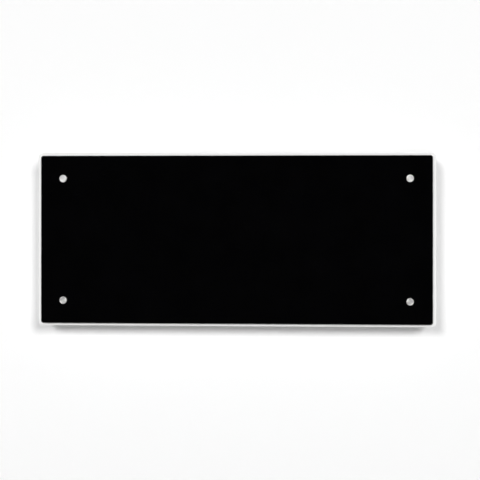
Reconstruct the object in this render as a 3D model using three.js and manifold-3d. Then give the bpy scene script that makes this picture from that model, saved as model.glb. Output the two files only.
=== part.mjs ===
// A wall-hung glass panel heater, in millimetres. +X is to the right seen from the front, +Z is up, and the
// glass faces -Y. The origin is the middle of the wall bracket's face on the wall, so a "depth" below is a
// distance from the wall, and y = -depth.

import * as THREE from "three";
import { mergeVertices } from "three/addons/utils/BufferGeometryUtils.js";
import Module from "manifold-3d";

const wasm = await Module();
wasm.setup();

// ---------------------------------------------------------------------------------------------------------
// Driving dimensions
// ---------------------------------------------------------------------------------------------------------

// Clearances: seat is left between faces that rest on each other, slip is left round a piece that slides.
const seat = 0.3;
const slip = 0.35;

// How far a cutting form runs past the faces it cuts through.
const past = 1;

// Casing of folded sheet steel: the overall size of the heater.
const casingWidth = 850;
const casingHeight = 370;
const casingDepth = 42;
const casingCorner = 10;
const casingSheet = 1;
const casingBend = 3;
const casingFlange = 70;
const casingLip = 13;
const windowCorner = 12;

// Gap between the wall and the back of the casing.
const wallGap = 24;

// Glass front and the four studs that carry it.
const rimSide = 8.2;
const rimTop = 6;
const glassThickness = 5;
const glassCorner = 5;
const glassArris = 0.8;
const glassStandoff = 3;
const studInsetX = 48.3;
const studInsetZ = 49;
const studCapDiameter = 15.6;
const studCapHeight = 3;
const studCapChamfer = 0.5;
const studDish = 0.35;
const studShank = 5;
const studEnd = 2;
const studGasketDiameter = 13.6;
const studGasketThickness = 0.6;
const glassHole = 8;
const flangeHole = 6.4;
const spacerDiameter = 14;
const nutAcrossFlats = 8;
const nutThickness = 4;
const nutCollarDiameter = 11;
const nutCollarThickness = 1;

// Rear cover with a pressed field.
const coverSheet = 1;
const coverInset = 5;
const coverBorder = 16;
const coverStep = 3;
const coverStepRun = 4;
const coverScrewInset = 11;
const coverScrewHole = 3.8;
const coverScrewHead = 7;
const coverScrewHeadHeight = 2;
const coverScrewShank = 3.2;
const coverScrewLength = 6;
const coverScrewRecess = 2.4;
const coverScrewRecessDepth = 0.9;
const coverVentLength = 46;
const coverVentWidth = 5;
const coverVentPitch = 62;
const coverVentRowPitch = 15;
const coverVentRows = 3;
const coverVentsPerRow = 5;
const coverVentHeight = 66;

// Air slots in the top and bottom walls of the casing.
const wallVentLength = 34;
const wallVentWidth = 5;
const wallVentPitch = 48;
const wallVentLeftMargin = 80;
const wallVentRightMargin = 76;
const wallVentDepth = 48;

// Heating element, its insulation and the tray that holds them behind the window.
const elementClearance = 10;
const elementThickness = 1.2;
const elementCorner = 6;
const trackWidth = 7;
const trackPitch = 15;
const trackThickness = 0.4;
const trackMargin = 16;
const trackTab = 14;
const insulationThickness = 12;
const traySheet = 0.8;
const trayFoot = 15;
const trayCorner = 8;
const traySlack = 1;

// Wall bracket: two channels joined by a bar.
const bracketSheet = 1.5;
const uprightSpacing = 400;
const uprightWidth = 40;
const uprightDepth = 15;
const uprightTopInset = 53;
const uprightBottomInset = 33;
const crossbarHeight = 34;
const crossbarLip = 7;
const wallSlotWidth = 6;
const wallSlotLength = 16;
const wallSlotInset = 46;
const wallSlotGap = 10;

// Hooks at the foot of the channels, on which the heater hangs and tilts.
const hookInset = 45;
const hookArmHeight = 8;
const hookReach = 5;
const hookLipHeight = 7;
const hookLipThickness = 1.6;
const hookLipBevel = 1;
const hookRootDepth = 2;
const hookRootHeight = 6;
const hookSlotWidth = 5;
const hookSlotRelief = 3;
const tiltClearance = 0.5;

// Spring latches at the head of the channels.
const latchHeight = 52;
const latchTopInset = 47;
const latchTravel = 7;
const latchInset = 2;
const latchTabWidth = 22;
const latchTabHeight = 12;
const latchTabDepth = 3;
const latchNoseWidth = 14;
const latchNoseInset = 67;
const latchNoseHeight = 4;
const latchNoseClearance = 1.5;
const latchLipHeight = 5;
const latchLipThickness = 2;
const latchLipGap = 2;
const latchLipBevel = 2;
const rivetDiameter = 5;
const rivetHeadDiameter = 9;
const rivetHeadHeight = 1.4;
const rivetHeadBevel = 1.5;
const rivetMargin = 1;
const springDiameter = 9;
const springWire = 1.1;
const springTurns = 7;
const springLength = 32;
const springPegDiameter = 5;
const springPegHeight = 5;
const shelfThickness = 1.5;

// Controls in the top wall, at the right-hand end.
const controlInset = 53;
const controlGap = 2.5;
const bezelWidth = 62;
const bezelDepth = 23;
const bezelCorner = 4;
const bezelFlange = 3;
const bezelFlangeThickness = 2;
const bezelMargin = 3.5;
const controlBoxWall = 1.5;
const controlBoxHeight = 26;
const controlPost = 5;
const controlBoardThickness = 1.6;
const controlBoardDrop = 9;
const buttonDiameter = 8;
const buttonPitch = 12;
const buttonRetainer = 1;
const buttonRetainerThickness = 1;
const buttonTravel = 0.8;
const buttonStemDiameter = 3;
const buttonEdge = 0.4;
const buttonRim = 1.6;
const keySwitch = 6;
const keySwitchHeight = 1.6;
const displayWidth = 17;
const displayDepth = 10;
const displayThickness = 1.6;
const displayCorner = 1;
const displayLedge = 1;
const radioLength = 12;
const radioHeight = 2.4;

// Mains switch in the right-hand wall.
const switchZ = 74;
const switchDepth = 45;
const switchLength = 27;
const switchWidth = 12;
const switchBodyReach = 19;
const switchRimThickness = 1.2;
const switchRimOverlap = 1.5;
const rockerLength = 20;
const rockerWidth = 8;
const rockerProud = 2.2;
const rockerAngle = 9;
const rockerThickness = 5;
const rockerFoot = 3;
const rockerShoulder = 1.5;
const rockerBevel = 1;
const rockerValley = 0.66;
const rockerPivotInset = 4;
const rockerPinReach = 1;
const rockerPivotDiameter = 2.4;
const switchBladePitch = 8;
const switchBladeWidth = 4.8;
const switchBladeThickness = 0.8;
const switchBladeLength = 7;

// Power board, behind the casing's right-hand flange.
const boardInset = 31;
const boardZ = -28;
const boardWidth = 46;
const boardHeight = 96;
const boardThickness = 1.6;
const boardPostDiameter = 6;
const boardPostHeight = 6;
const boardPostInset = 6;
const carrierThickness = 2;
const carrierMargin = 3;
const carrierCorner = 4;
const boardCorner = 2;
const relayWidth = 16;
const relayHeight = 29;
const relayDepth = 13;
const relayInset = 28;
const terminalWidth = 38;
const terminalHeight = 14;
const terminalDepth = 12;
const terminalInset = 16;
const terminalPoles = 5;
const terminalEntryWidth = 4.4;
const terminalEntryBack = 5;
const terminalEntryDepth = 4;
const terminalEntryLength = 8;
const terminalScrewHole = 4;
const terminalScrewDepth = 3;

// Thermal cut-out, room sensor and cord inlet.
const cutoutX = 130;
const cutoutInset = 43;
const cutoutDiameter = 16;
const cutoutDepth = 7;
const cutoutFlangeLength = 26;
const cutoutFlangeThickness = 1;
const cutoutTabReach = 14;
const cutoutTabRoot = 4;
const cutoutTabWidth = 3;
const cutoutTabThickness = 0.8;
const sensorInset = 33;
const sensorDepth = 45;
const sensorDiameter = 5;
const sensorLength = 12;
const sensorNose = 1.2;
const sensorHolderDiameter = 9;
const sensorHolderFlange = 12;
const sensorHolderFlangeThickness = 1.5;
const sensorHolderHeight = 8;
const glandInsetX = 95;
const glandInsetZ = 73;
const glandBore = 8;
const glandDiameter = 15;
const glandHeadDiameter = 20;
const glandHeadHeight = 5;
const glandNutAcross = 20;
const glandNutThickness = 4;
const glandBevel = 1.5;
const glandProud = 1;

// Leads inside the casing: a loom behind the tray and a lead between the two boards.
const loomDiameter = 5;
const wireDiameter = 2.2;
const controlLeadDiameter = 4;
const leadHole = 5.5;
const loomInset = 16;
const loomBend = 12;
const loomReach = 40;
const loomSteps = 28;
const wireSteps = 14;
const leadSides = 6;

// Facets.
const cornerSteps = 5;
const bendSteps = 3;
const studSides = 32;
const turnedSides = 16;
const smallSides = 10;
const springSteps = 8;
const springSides = 5;

// ---------------------------------------------------------------------------------------------------------
// Depths and places that follow from them
// ---------------------------------------------------------------------------------------------------------

const casingBack = wallGap;
const casingFront = wallGap + casingDepth;
const flangeInner = casingFront - casingSheet;
const coverFront = casingBack + coverSheet;
const lipBack = coverFront + seat;
const lipFront = lipBack + casingSheet;
const fieldBack = casingBack + coverStep;
const fieldFront = fieldBack + coverSheet;
const glassBack = casingFront + glassStandoff;
const glassFront = glassBack + glassThickness;
const windowWidth = casingWidth - 2 * casingFlange;
const windowHeight = casingHeight - 2 * casingFlange;
const casingTop = casingHeight / 2;
const casingRight = casingWidth / 2;
const glassWidth = casingWidth - 2 * rimSide;
const glassHeight = casingHeight - 2 * rimTop;
const studSpacingX = glassWidth - 2 * studInsetX;
const studSpacingZ = glassHeight - 2 * studInsetZ;
const elementWidth = windowWidth - 2 * elementClearance;
const elementHeight = windowHeight - 2 * elementClearance;
const cutoutZ = elementHeight / 2 - cutoutInset;
const uprightTop = casingTop - uprightTopInset;
const uprightBottom = -casingTop + uprightBottomInset;
const hookTop = -casingTop + hookInset;
const latchTop = casingTop - latchTopInset;
const latchNoseTop = casingTop - latchNoseInset;
const controlX = casingRight - controlInset;
const controlDepth = fieldFront + controlGap + bezelFlange + bezelDepth / 2;
const boardX = casingRight - boardInset;
const sensorX = casingRight - sensorInset;
const glandX = casingRight - glandInsetX;
const glandZ = -casingTop + glandInsetZ;

// ---------------------------------------------------------------------------------------------------------
// Materials
// ---------------------------------------------------------------------------------------------------------

const finish = (color, roughness, metalness = 0) =>
  new THREE.MeshStandardMaterial({ color, roughness, metalness });

const materials = {
  whitePaint: finish(0xf2f2f0, 0.45),
  blackGlass: finish(0x050506, 0.05),
  satinSteel: finish(0xc9c8c4, 0.32, 1),
  zincSteel: finish(0xb4b7ba, 0.42, 1),
  springSteel: finish(0x8d9094, 0.35, 1),
  aluminium: finish(0xc4c6c8, 0.4, 1),
  mica: finish(0xb9a98c, 0.6),
  trackFoil: finish(0x8f8a80, 0.35, 1),
  insulation: finish(0xe6e2d8, 0.95),
  silicone: finish(0xd8d8d4, 0.6),
  blackPlastic: finish(0x1b1c1e, 0.5),
  whitePlastic: finish(0xe9e9e6, 0.45),
  board: finish(0x1f5a38, 0.5),
  lens: finish(0x0c0d10, 0.08),
};

// ---------------------------------------------------------------------------------------------------------
// Solids
// ---------------------------------------------------------------------------------------------------------

// The signed volume of a merged geometry: negative where its faces point inwards.
function signedVolume(geometry) {
  const place = geometry.attributes.position;
  const corners = [new THREE.Vector3(), new THREE.Vector3(), new THREE.Vector3()];
  let sum = 0;
  for (let i = 0; i < geometry.index.count; i += 3) {
    corners.forEach((corner, k) => corner.fromBufferAttribute(place, geometry.index.getX(i + k)));
    sum += corners[0].dot(corners[1].clone().cross(corners[2])) / 6;
  }
  return sum;
}

// A geometry with its vertices merged, its flat slivers dropped and its faces turned outwards.
function closed(geometry) {
  const bare = new THREE.BufferGeometry();
  bare.setAttribute("position", geometry.attributes.position);
  if (geometry.index) bare.setIndex(geometry.index);
  const merged = mergeVertices(bare, 1e-4);
  const kept = [];
  const index = merged.index.array;
  for (let i = 0; i < index.length; i += 3) {
    const [a, b, c] = [index[i], index[i + 1], index[i + 2]];
    if (a !== b && b !== c && c !== a) kept.push(a, b, c);
  }
  merged.setIndex(kept);
  if (signedVolume(merged) < 0) {
    merged.setIndex(kept.map((_, i) => kept[i - (i % 3) + (2 - (i % 3))]));
  }
  return merged;
}

function toManifold(geometry) {
  const whole = closed(geometry);
  return new wasm.Manifold(
    new wasm.Mesh({
      numProp: 3,
      vertProperties: new Float32Array(whole.attributes.position.array),
      triVerts: new Uint32Array(whole.index.array),
    }),
  );
}

function fromManifold(solid) {
  const mesh = solid.getMesh();
  const geometry = new THREE.BufferGeometry();
  geometry.setAttribute("position", new THREE.BufferAttribute(mesh.vertProperties.slice(), 3));
  geometry.setIndex(new THREE.BufferAttribute(mesh.triVerts.slice(), 1));
  return geometry;
}

const joined = (...parts) => parts.map(toManifold).reduce((whole, part) => whole.add(part));
const join = (...parts) => fromManifold(joined(...parts));
const cut = (base, ...tools) => fromManifold(toManifold(base).subtract(joined(...tools)));

// ---------------------------------------------------------------------------------------------------------
// Outlines and forms
// ---------------------------------------------------------------------------------------------------------

// Points round a rounded rectangle, as [across, up].
function roundedOutline(width, height, radius, steps = cornerSteps) {
  const corners = [
    [1, 1],
    [-1, 1],
    [-1, -1],
    [1, -1],
  ];
  return corners.flatMap(([sideX, sideZ], quarter) =>
    Array.from({ length: steps + 1 }, (_, i) => {
      const angle = ((quarter + i / steps) * Math.PI) / 2;
      return [
        sideX * (width / 2 - radius) + radius * Math.cos(angle),
        sideZ * (height / 2 - radius) + radius * Math.sin(angle),
      ];
    }),
  );
}

const shapeOf = (points) => new THREE.Shape(points.map(([across, up]) => new THREE.Vector2(across, up)));

// A flat outline across X and Z, as thick as the depths from near to far.
function plate(points, near, far, holes = []) {
  const shape = shapeOf(points);
  shape.holes = holes.map(shapeOf);
  const geometry = new THREE.ExtrudeGeometry(shape, { depth: far - near, bevelEnabled: false });
  return closed(geometry.rotateX(Math.PI / 2).translate(0, -near, 0));
}

// An outline across X and depth, drawn upwards from bottom to top.
function column(points, bottom, top) {
  const shape = shapeOf(points.map(([across, depth]) => [across, -depth]));
  const geometry = new THREE.ExtrudeGeometry(shape, { depth: top - bottom, bevelEnabled: false });
  return closed(geometry.translate(0, 0, bottom));
}

// An outline across depth and Z, as wide as from left to right.
function profile(points, left, right) {
  const shape = shapeOf(points.map(([depth, up]) => [-depth, up]));
  const geometry = new THREE.ExtrudeGeometry(shape, { depth: right - left, bevelEnabled: false });
  return closed(geometry.rotateY(Math.PI / 2).rotateX(Math.PI / 2).translate(left, 0, 0));
}

// A turned form about the depth axis, its profile given as [radius, depth].
function turned(points, sides = turnedSides) {
  const line = points.map(([radius, depth]) => new THREE.Vector2(radius, -depth));
  return closed(new THREE.LatheGeometry(line, sides));
}

// A turned form about the vertical axis, its profile given as [radius, height].
const turnedUpright = (points, sides) =>
  turned(
    points.map(([radius, height]) => [radius, -height]),
    sides,
  ).rotateX(Math.PI / 2);

const disc = (diameter, near, far, sides) =>
  turned(
    [
      [0, near],
      [diameter / 2, near],
      [diameter / 2, far],
      [0, far],
    ],
    sides,
  );

function washer(inner, outer, near, far, sides = turnedSides) {
  const ring = [
    [inner / 2, near],
    [outer / 2, near],
    [outer / 2, far],
    [inner / 2, far],
    [inner / 2, near],
  ];
  return turned(ring, sides);
}

const uprightDisc = (diameter, bottom, top, sides = turnedSides) =>
  turnedUpright(
    [
      [0, bottom],
      [diameter / 2, bottom],
      [diameter / 2, top],
      [0, top],
    ],
    sides,
  );

const moved = (geometry, x, y, z) => geometry.clone().translate(x, y, z);

// A block between two corners, given as [x, depth, z].
function block([x1, depth1, z1], [x2, depth2, z2]) {
  const geometry = new THREE.BoxGeometry(x2 - x1, depth2 - depth1, z2 - z1);
  return closed(geometry.translate((x1 + x2) / 2, -(depth1 + depth2) / 2, (z1 + z2) / 2));
}

// Skins a row of rings with as many points each. A loop of rings closes on itself, and an open row is
// closed with a flat end at each side.
function skin(rings, loop) {
  const count = rings[0].length;
  const points = rings.flat();
  const faces = [];
  const spans = loop ? rings.length : rings.length - 1;
  for (let r = 0; r < spans; r++) {
    const next = (r + 1) % rings.length;
    for (let i = 0; i < count; i++) {
      const j = (i + 1) % count;
      const [a, b, c, d] = [r * count + i, r * count + j, next * count + j, next * count + i];
      faces.push(a, b, c, a, c, d);
    }
  }
  if (!loop) {
    for (const [r, turn] of [
      [0, 1],
      [rings.length - 1, -1],
    ]) {
      const centre = points.length;
      const ring = rings[r];
      points.push([0, 1, 2].map((k) => ring.reduce((sum, point) => sum + point[k], 0) / count));
      for (let i = 0; i < count; i++) {
        const pair = [r * count + i, r * count + ((i + 1) % count)];
        faces.push(centre, ...(turn > 0 ? pair.reverse() : pair));
      }
    }
  }
  const geometry = new THREE.BufferGeometry();
  geometry.setAttribute("position", new THREE.Float32BufferAttribute(points.flat(), 3));
  geometry.setIndex(faces);
  return closed(geometry);
}

// Folded sheet round a rounded rectangle: each step is [inset from the outline, depth, corner radius].
function folded(width, height, steps, loop) {
  const rings = steps.map(([inset, depth, radius]) =>
    roundedOutline(width - 2 * inset, height - 2 * inset, radius).map(([x, z]) => [x, -depth, z]),
  );
  return skin(rings, loop);
}

// Steps of a bend: an arc about [inset, depth] from one angle to another, where an angle of 0 points to a
// greater inset and 90 to a greater depth.
function bend(inset, depth, radius, from, to, corner) {
  return Array.from({ length: bendSteps + 1 }, (_, i) => {
    const angle = THREE.MathUtils.degToRad(from + ((to - from) * i) / bendSteps);
    const across = inset + radius * Math.cos(angle);
    return [across, depth + radius * Math.sin(angle), Math.max(corner - across, casingSheet / 2)];
  });
}

// A slot with round ends, as [across, up] about its middle.
const slotOutline = (length, width, steps = 2) => roundedOutline(length, width, width / 2 - 1e-3, steps);

const shifted = (points, across, up) => points.map(([a, b]) => [a + across, b + up]);

// Places in a row or grid about its middle.
const row = (count, pitch) => Array.from({ length: count }, (_, i) => (i - (count - 1) / 2) * pitch);

const circle = (diameter, sides = smallSides) =>
  Array.from({ length: sides }, (_, i) => {
    const angle = ((i + 0.5) / sides) * 2 * Math.PI;
    return [(diameter / 2) * Math.cos(angle), (diameter / 2) * Math.sin(angle)];
  });

const hexagon = (acrossFlats) => circle(acrossFlats / Math.cos(Math.PI / 6), 6);

// ---------------------------------------------------------------------------------------------------------
// Glass front and studs
// ---------------------------------------------------------------------------------------------------------

const studPlaces = [
  ["top_left", -studSpacingX / 2, studSpacingZ / 2],
  ["top_right", studSpacingX / 2, studSpacingZ / 2],
  ["bottom_left", -studSpacingX / 2, -studSpacingZ / 2],
  ["bottom_right", studSpacingX / 2, -studSpacingZ / 2],
];

const throughDiscs = (diameter, near, far) =>
  studPlaces.map(([, x, z]) => moved(disc(diameter, near, far), x, 0, z));

function glassPanel() {
  const pane = folded(glassWidth, glassHeight, [
    [glassArris, glassBack, glassCorner - glassArris / 2],
    [0, glassBack + glassArris, glassCorner],
    [0, glassFront - glassArris, glassCorner],
    [glassArris, glassFront, glassCorner - glassArris / 2],
  ]);
  return cut(pane, ...throughDiscs(glassHole, glassBack - past, glassFront + past));
}

const gasketBack = glassFront + seat;
const gasketFront = gasketBack + studGasketThickness;
const capBack = gasketFront + seat;
const capFront = capBack + studCapHeight;
const nutFront = flangeInner - seat;
const nutBack = nutFront - nutThickness - nutCollarThickness;

// A turned cap with a shallow dish in its face, and the threaded shank behind it.
function stud() {
  const rim = studCapDiameter / 2;
  return turned(
    [
      [0, capFront - studDish],
      [rim * 0.5, capFront - studDish * 0.75],
      [rim - 2 * studCapChamfer, capFront],
      [rim - studCapChamfer, capFront],
      [rim, capFront - studCapChamfer],
      [rim, capBack],
      [studShank / 2, capBack],
      [studShank / 2, nutBack - studEnd],
      [0, nutBack - studEnd],
    ],
    studSides,
  );
}

const studGasket = () => washer(studShank + 2 * seat, studGasketDiameter, gasketBack, gasketFront);
const spacer = () => washer(studShank + 2 * seat, spacerDiameter, casingFront + seat, glassBack - seat);

function collarNut() {
  const bore = circle(studShank + 2 * seat + 0.2, turnedSides);
  return join(
    plate(hexagon(nutAcrossFlats), nutBack, nutFront - nutCollarThickness, [bore]),
    plate(circle(nutCollarDiameter, turnedSides), nutFront - nutCollarThickness, nutFront, [bore]),
  );
}

// ---------------------------------------------------------------------------------------------------------
// Casing and rear cover
// ---------------------------------------------------------------------------------------------------------

const innerBend = casingBend - casingSheet;
const lipCorner = casingCorner / 2;

const coverWidth = casingWidth - 2 * coverInset;
const coverHeight = casingHeight - 2 * coverInset;
const coverScrewX = coverWidth / 2 - coverScrewInset + coverInset - casingSheet;
const coverScrewZ = coverHeight / 2 - coverScrewInset + coverInset - casingSheet;
const coverScrewPlaces = [-1, 1].flatMap((side) => [
  ...[-1, 0, 1].map((across) => [across * (coverScrewX - casingCorner), side * coverScrewZ]),
  [side * coverScrewX, 0],
]);

const coverScrewHoles = (near, far) =>
  coverScrewPlaces.map(([x, z]) => moved(disc(coverScrewHole, near, far, smallSides), x, 0, z));

// Slots through the top and bottom walls, in a row from the left-hand end to the controls.
function wallVents() {
  const left = -casingRight + wallVentLeftMargin;
  const right = controlX - bezelWidth / 2 - wallVentRightMargin;
  const count = Math.floor((right - left - wallVentLength) / wallVentPitch) + 1;
  const slot = slotOutline(wallVentLength, wallVentWidth);
  return row(count, wallVentPitch).flatMap((x) =>
    [-casingTop, casingTop].map((z) =>
      column(shifted(slot, x + (left + right) / 2, wallVentDepth), z - casingBend, z + casingBend),
    ),
  );
}

const bezelOutline = (grow) =>
  shifted(
    roundedOutline(bezelWidth + 2 * grow, bezelDepth + 2 * grow, bezelCorner + grow, 3),
    controlX,
    controlDepth,
  );

const switchBlock = (grow, inner, outer) =>
  block(
    [inner, switchDepth - switchWidth / 2 - grow, switchZ - switchLength / 2 - grow],
    [outer, switchDepth + switchWidth / 2 + grow, switchZ + switchLength / 2 + grow],
  );

function casing() {
  const shell = folded(
    casingWidth,
    casingHeight,
    [
      [casingFlange, casingFront, windowCorner],
      ...bend(casingBend, casingFront - casingBend, casingBend, 90, 180, casingCorner),
      ...bend(casingBend, lipBack + casingBend, casingBend, 180, 270, casingCorner),
      [casingLip, lipBack, lipCorner],
      [casingLip, lipFront, lipCorner],
      ...bend(casingBend, lipFront + innerBend, innerBend, 270, 180, casingCorner),
      ...bend(casingBend, flangeInner - innerBend, innerBend, 180, 90, casingCorner),
      [casingFlange, flangeInner, windowCorner],
    ],
    true,
  );
  return cut(
    shell,
    ...throughDiscs(flangeHole, flangeInner - past, casingFront + past),
    ...coverScrewHoles(lipBack - past, lipFront + past),
    ...wallVents(),
    column(bezelOutline(seat), casingTop - casingBend, casingTop + casingBend),
    switchBlock(seat, casingRight - casingBend, casingRight + casingBend),
    moved(
      uprightDisc(sensorHolderDiameter + 2 * seat, -casingTop - casingBend, -casingTop + casingBend),
      sensorX,
      -sensorDepth,
      0,
    ),
  );
}

const hookX = uprightSpacing / 2 + uprightWidth / 2 - bracketSheet / 2;
const hookSlotBottom = hookTop - hookArmHeight - hookSlotRelief;
const latchSlotBottom = latchNoseTop - latchNoseHeight - latchTravel - past;
const latchSlotTop = latchNoseTop + past;
const latchSlotHalf = latchNoseWidth / 2 + latchNoseClearance;

// A cut right through the cover between two corners given as [x, z].
const coverCut = ([x1, z1], [x2, z2]) => block([x1, casingBack - past, z1], [x2, fieldFront + past, z2]);

function rearCover() {
  const fieldCorner = casingCorner + coverBorder / 4;
  const pressed = folded(coverWidth, coverHeight, [
    [coverBorder + coverStepRun, fieldBack, fieldCorner],
    [coverBorder, casingBack, fieldCorner],
    [0, casingBack, casingCorner - coverInset],
    [0, coverFront, casingCorner - coverInset],
    [coverBorder, coverFront, fieldCorner],
    [coverBorder + coverStepRun, fieldFront, fieldCorner],
  ]);
  const hookSlots = [-hookX, hookX].map((x) =>
    coverCut([x - hookSlotWidth / 2, hookSlotBottom], [x + hookSlotWidth / 2, hookTop + tiltClearance]),
  );
  const latchSlots = row(2, uprightSpacing).map((x) =>
    coverCut([x - latchSlotHalf, latchSlotBottom], [x + latchSlotHalf, latchSlotTop]),
  );
  const vents = [-coverVentHeight, coverVentHeight].flatMap((middle) =>
    row(coverVentRows, coverVentRowPitch).flatMap((up) =>
      row(coverVentsPerRow, coverVentPitch).map((x) =>
        plate(
          shifted(slotOutline(coverVentLength, coverVentWidth), x, middle + up),
          fieldBack - past,
          fieldFront + past,
        ),
      ),
    ),
  );
  return cut(
    pressed,
    ...hookSlots,
    ...latchSlots,
    ...vents,
    ...coverScrewHoles(casingBack - past, coverFront + past),
    moved(
      disc(glandDiameter + 2 * seat, fieldBack - past, fieldFront + past, studSides),
      glandX,
      0,
      glandZ,
    ),
  );
}

// A domed screw with a recess in its head, driven from the back.
function coverScrew() {
  const headBack = casingBack - seat - coverScrewHeadHeight;
  const head = coverScrewHead / 2;
  return turned(
    [
      [0, headBack + coverScrewRecessDepth],
      [coverScrewRecess / 2, headBack + coverScrewRecessDepth],
      [coverScrewRecess / 2, headBack],
      [head * 0.75, headBack + coverScrewHeadHeight * 0.25],
      [head, headBack + coverScrewHeadHeight * 0.7],
      [head, casingBack - seat],
      [coverScrewShank / 2, casingBack - seat],
      [coverScrewShank / 2, casingBack - seat + coverScrewLength],
      [0, casingBack - seat + coverScrewLength],
    ],
    smallSides,
  );
}

// ---------------------------------------------------------------------------------------------------------
// Heating element
// ---------------------------------------------------------------------------------------------------------

const elementFront = glassBack - seat;
const elementBack = elementFront - elementThickness;
const trackFront = elementBack - seat;
const trackBack = trackFront - trackThickness;
const insulationFront = trackBack - seat;
const insulationBack = insulationFront - insulationThickness;
const trayFloorFront = insulationBack - seat;
const trayFloorBack = trayFloorFront - traySheet;

// Rows of the heating track, and the tab at the right-hand end of the first and the last.
const trackReach = elementWidth / 2 - trackMargin;
const trackPairs = Math.floor(
  (elementHeight - 2 * trackMargin - trackWidth + trackPitch) / (2 * trackPitch),
);
const trackRows = row(2 * trackPairs, trackPitch);
const tabRows = [trackRows[0], trackRows[trackRows.length - 1]];
const tabX = trackReach + trackTab / 2;

const leadHoles = (near, far) =>
  tabRows.map((z) => moved(disc(leadHole, near, far, smallSides), tabX, 0, z));

const elementSheet = () =>
  plate(roundedOutline(elementWidth, elementHeight, elementCorner), elementBack, elementFront);

const insulationMat = () =>
  cut(
    plate(roundedOutline(elementWidth, elementHeight, elementCorner), insulationBack, insulationFront),
    ...leadHoles(insulationBack - past, insulationFront + past),
  );

// A resistive foil in rows, each joined to the next at alternate ends.
function heatingTrack() {
  const half = trackWidth / 2;
  const strips = trackRows.map((z) =>
    block([-trackReach, trackBack, z - half], [trackReach, trackFront, z + half]),
  );
  const links = trackRows.slice(1).map((z, i) => {
    const end = i % 2 ? 1 : -1;
    const [from, to] = [end * trackReach, end * (trackReach - trackWidth)].sort((a, b) => a - b);
    return block([from, trackBack, z - trackPitch - half], [to, trackFront, z + half]);
  });
  const tabs = tabRows.map((z) =>
    block([trackReach, trackBack, z - half], [trackReach + trackTab, trackFront, z + half]),
  );
  return join(...strips, ...links, ...tabs);
}

// The tray whose feet lie on the casing's flange, round the window.
function insulationTray() {
  const footFront = flangeInner - seat;
  const footBack = footFront - traySheet;
  const grow = 2 * (trayFoot + traySheet + traySlack);
  const pan = folded(elementWidth + grow, elementHeight + grow, [
    [trayFoot, trayFloorBack, trayCorner],
    [trayFoot, footBack, trayCorner],
    [0, footBack, trayCorner],
    [0, footFront, trayCorner],
    [trayFoot + traySheet, footFront, trayCorner - traySheet],
    [trayFoot + traySheet, trayFloorFront, trayCorner - traySheet],
  ]);
  return cut(pan, ...leadHoles(trayFloorBack - past, trayFloorFront + past));
}

const cutoutFront = trayFloorBack - seat;
const cutoutBack = cutoutFront - cutoutDepth;

// A bimetal thermostat button on its fixing flange, with a tab turned out to each side.
function thermalCutout() {
  const tabs = [-1, 1].map((side) => {
    const [from, to] = [side * cutoutTabRoot, side * cutoutTabReach].sort((a, b) => a - b);
    return block(
      [from, cutoutBack - cutoutTabThickness, -cutoutTabWidth / 2],
      [to, cutoutBack + cutoutTabThickness / 4, cutoutTabWidth / 2],
    );
  });
  return join(
    disc(cutoutDiameter, cutoutBack, cutoutFront - cutoutFlangeThickness / 2, turnedSides),
    plate(
      slotOutline(cutoutFlangeLength, cutoutDiameter / 2, 3),
      cutoutFront - cutoutFlangeThickness,
      cutoutFront,
    ),
    ...tabs,
  );
}

// ---------------------------------------------------------------------------------------------------------
// Controls
// ---------------------------------------------------------------------------------------------------------

const wallInner = casingTop - casingSheet;
const bezelBottom = wallInner - seat - bezelFlangeThickness;
const controlBoardTop = casingTop - controlBoardDrop;
const keySwitchTop = controlBoardTop + keySwitchHeight;
const displayX = controlX - bezelWidth / 2 + bezelMargin + displayWidth / 2;
const lensTop = casingTop - seat;
const lensBottom = lensTop - displayThickness;
const lastButtonX = controlX + bezelWidth / 2 - bezelMargin - buttonDiameter / 2;
const buttonPlaces = [2, 1, 0].map((i) => lastButtonX - i * buttonPitch);

const displayOutline = (grow) =>
  shifted(
    roundedOutline(displayWidth + 2 * grow, displayDepth + 2 * grow, displayCorner, 2),
    displayX,
    controlDepth,
  );

function controlBezel() {
  const buttonHoles = buttonPlaces.map((x) =>
    moved(
      uprightDisc(buttonDiameter + 2 * slip, bezelBottom - past, casingTop + past),
      x,
      -controlDepth,
      0,
    ),
  );
  return cut(
    join(
      column(bezelOutline(0), bezelBottom + bezelFlangeThickness / 2, casingTop),
      column(bezelOutline(bezelFlange), bezelBottom, wallInner - seat),
    ),
    ...buttonHoles,
    column(displayOutline(seat), lensBottom - seat, casingTop + past),
    column(displayOutline(-displayLedge), bezelBottom - past, casingTop),
  );
}

const displayLens = () => column(displayOutline(0), lensBottom, lensTop);

// A keycap with the collar that keeps it under the bezel, and the stem that meets the board's switch.
function button() {
  const collarTop = bezelBottom - seat;
  const collar = buttonDiameter / 2 + buttonRetainer;
  const cap = buttonDiameter / 2;
  const top = casingTop - seat;
  return turnedUpright(
    [
      [0, keySwitchTop + seat + buttonTravel],
      [buttonStemDiameter / 2, keySwitchTop + seat + buttonTravel],
      [buttonStemDiameter / 2, collarTop - buttonRetainerThickness],
      [collar, collarTop - buttonRetainerThickness],
      [collar, collarTop],
      [cap, collarTop],
      [cap, top - buttonEdge],
      [cap - buttonEdge, top],
      [cap - buttonRim, top],
      [0, top - buttonEdge],
    ],
    turnedSides,
  );
}

// An upright block centred on x and depth, given its [width, depth] and the heights it spans.
const standing = (x, depth, [width, deep], bottom, top) =>
  block([x - width / 2, depth - deep / 2, bottom], [x + width / 2, depth + deep / 2, top]);

const boxOuter = [bezelWidth + 2 * bezelFlange, bezelDepth + 2 * bezelFlange];
const boxInner = boxOuter.map((size) => size - 2 * controlBoxWall);
const boxTop = bezelBottom - seat;
const boxBottom = boxTop - controlBoxHeight;
const controlBoardBottom = controlBoardTop - controlBoardThickness;
const controlLeadX = controlX - bezelWidth / 4;

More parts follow.
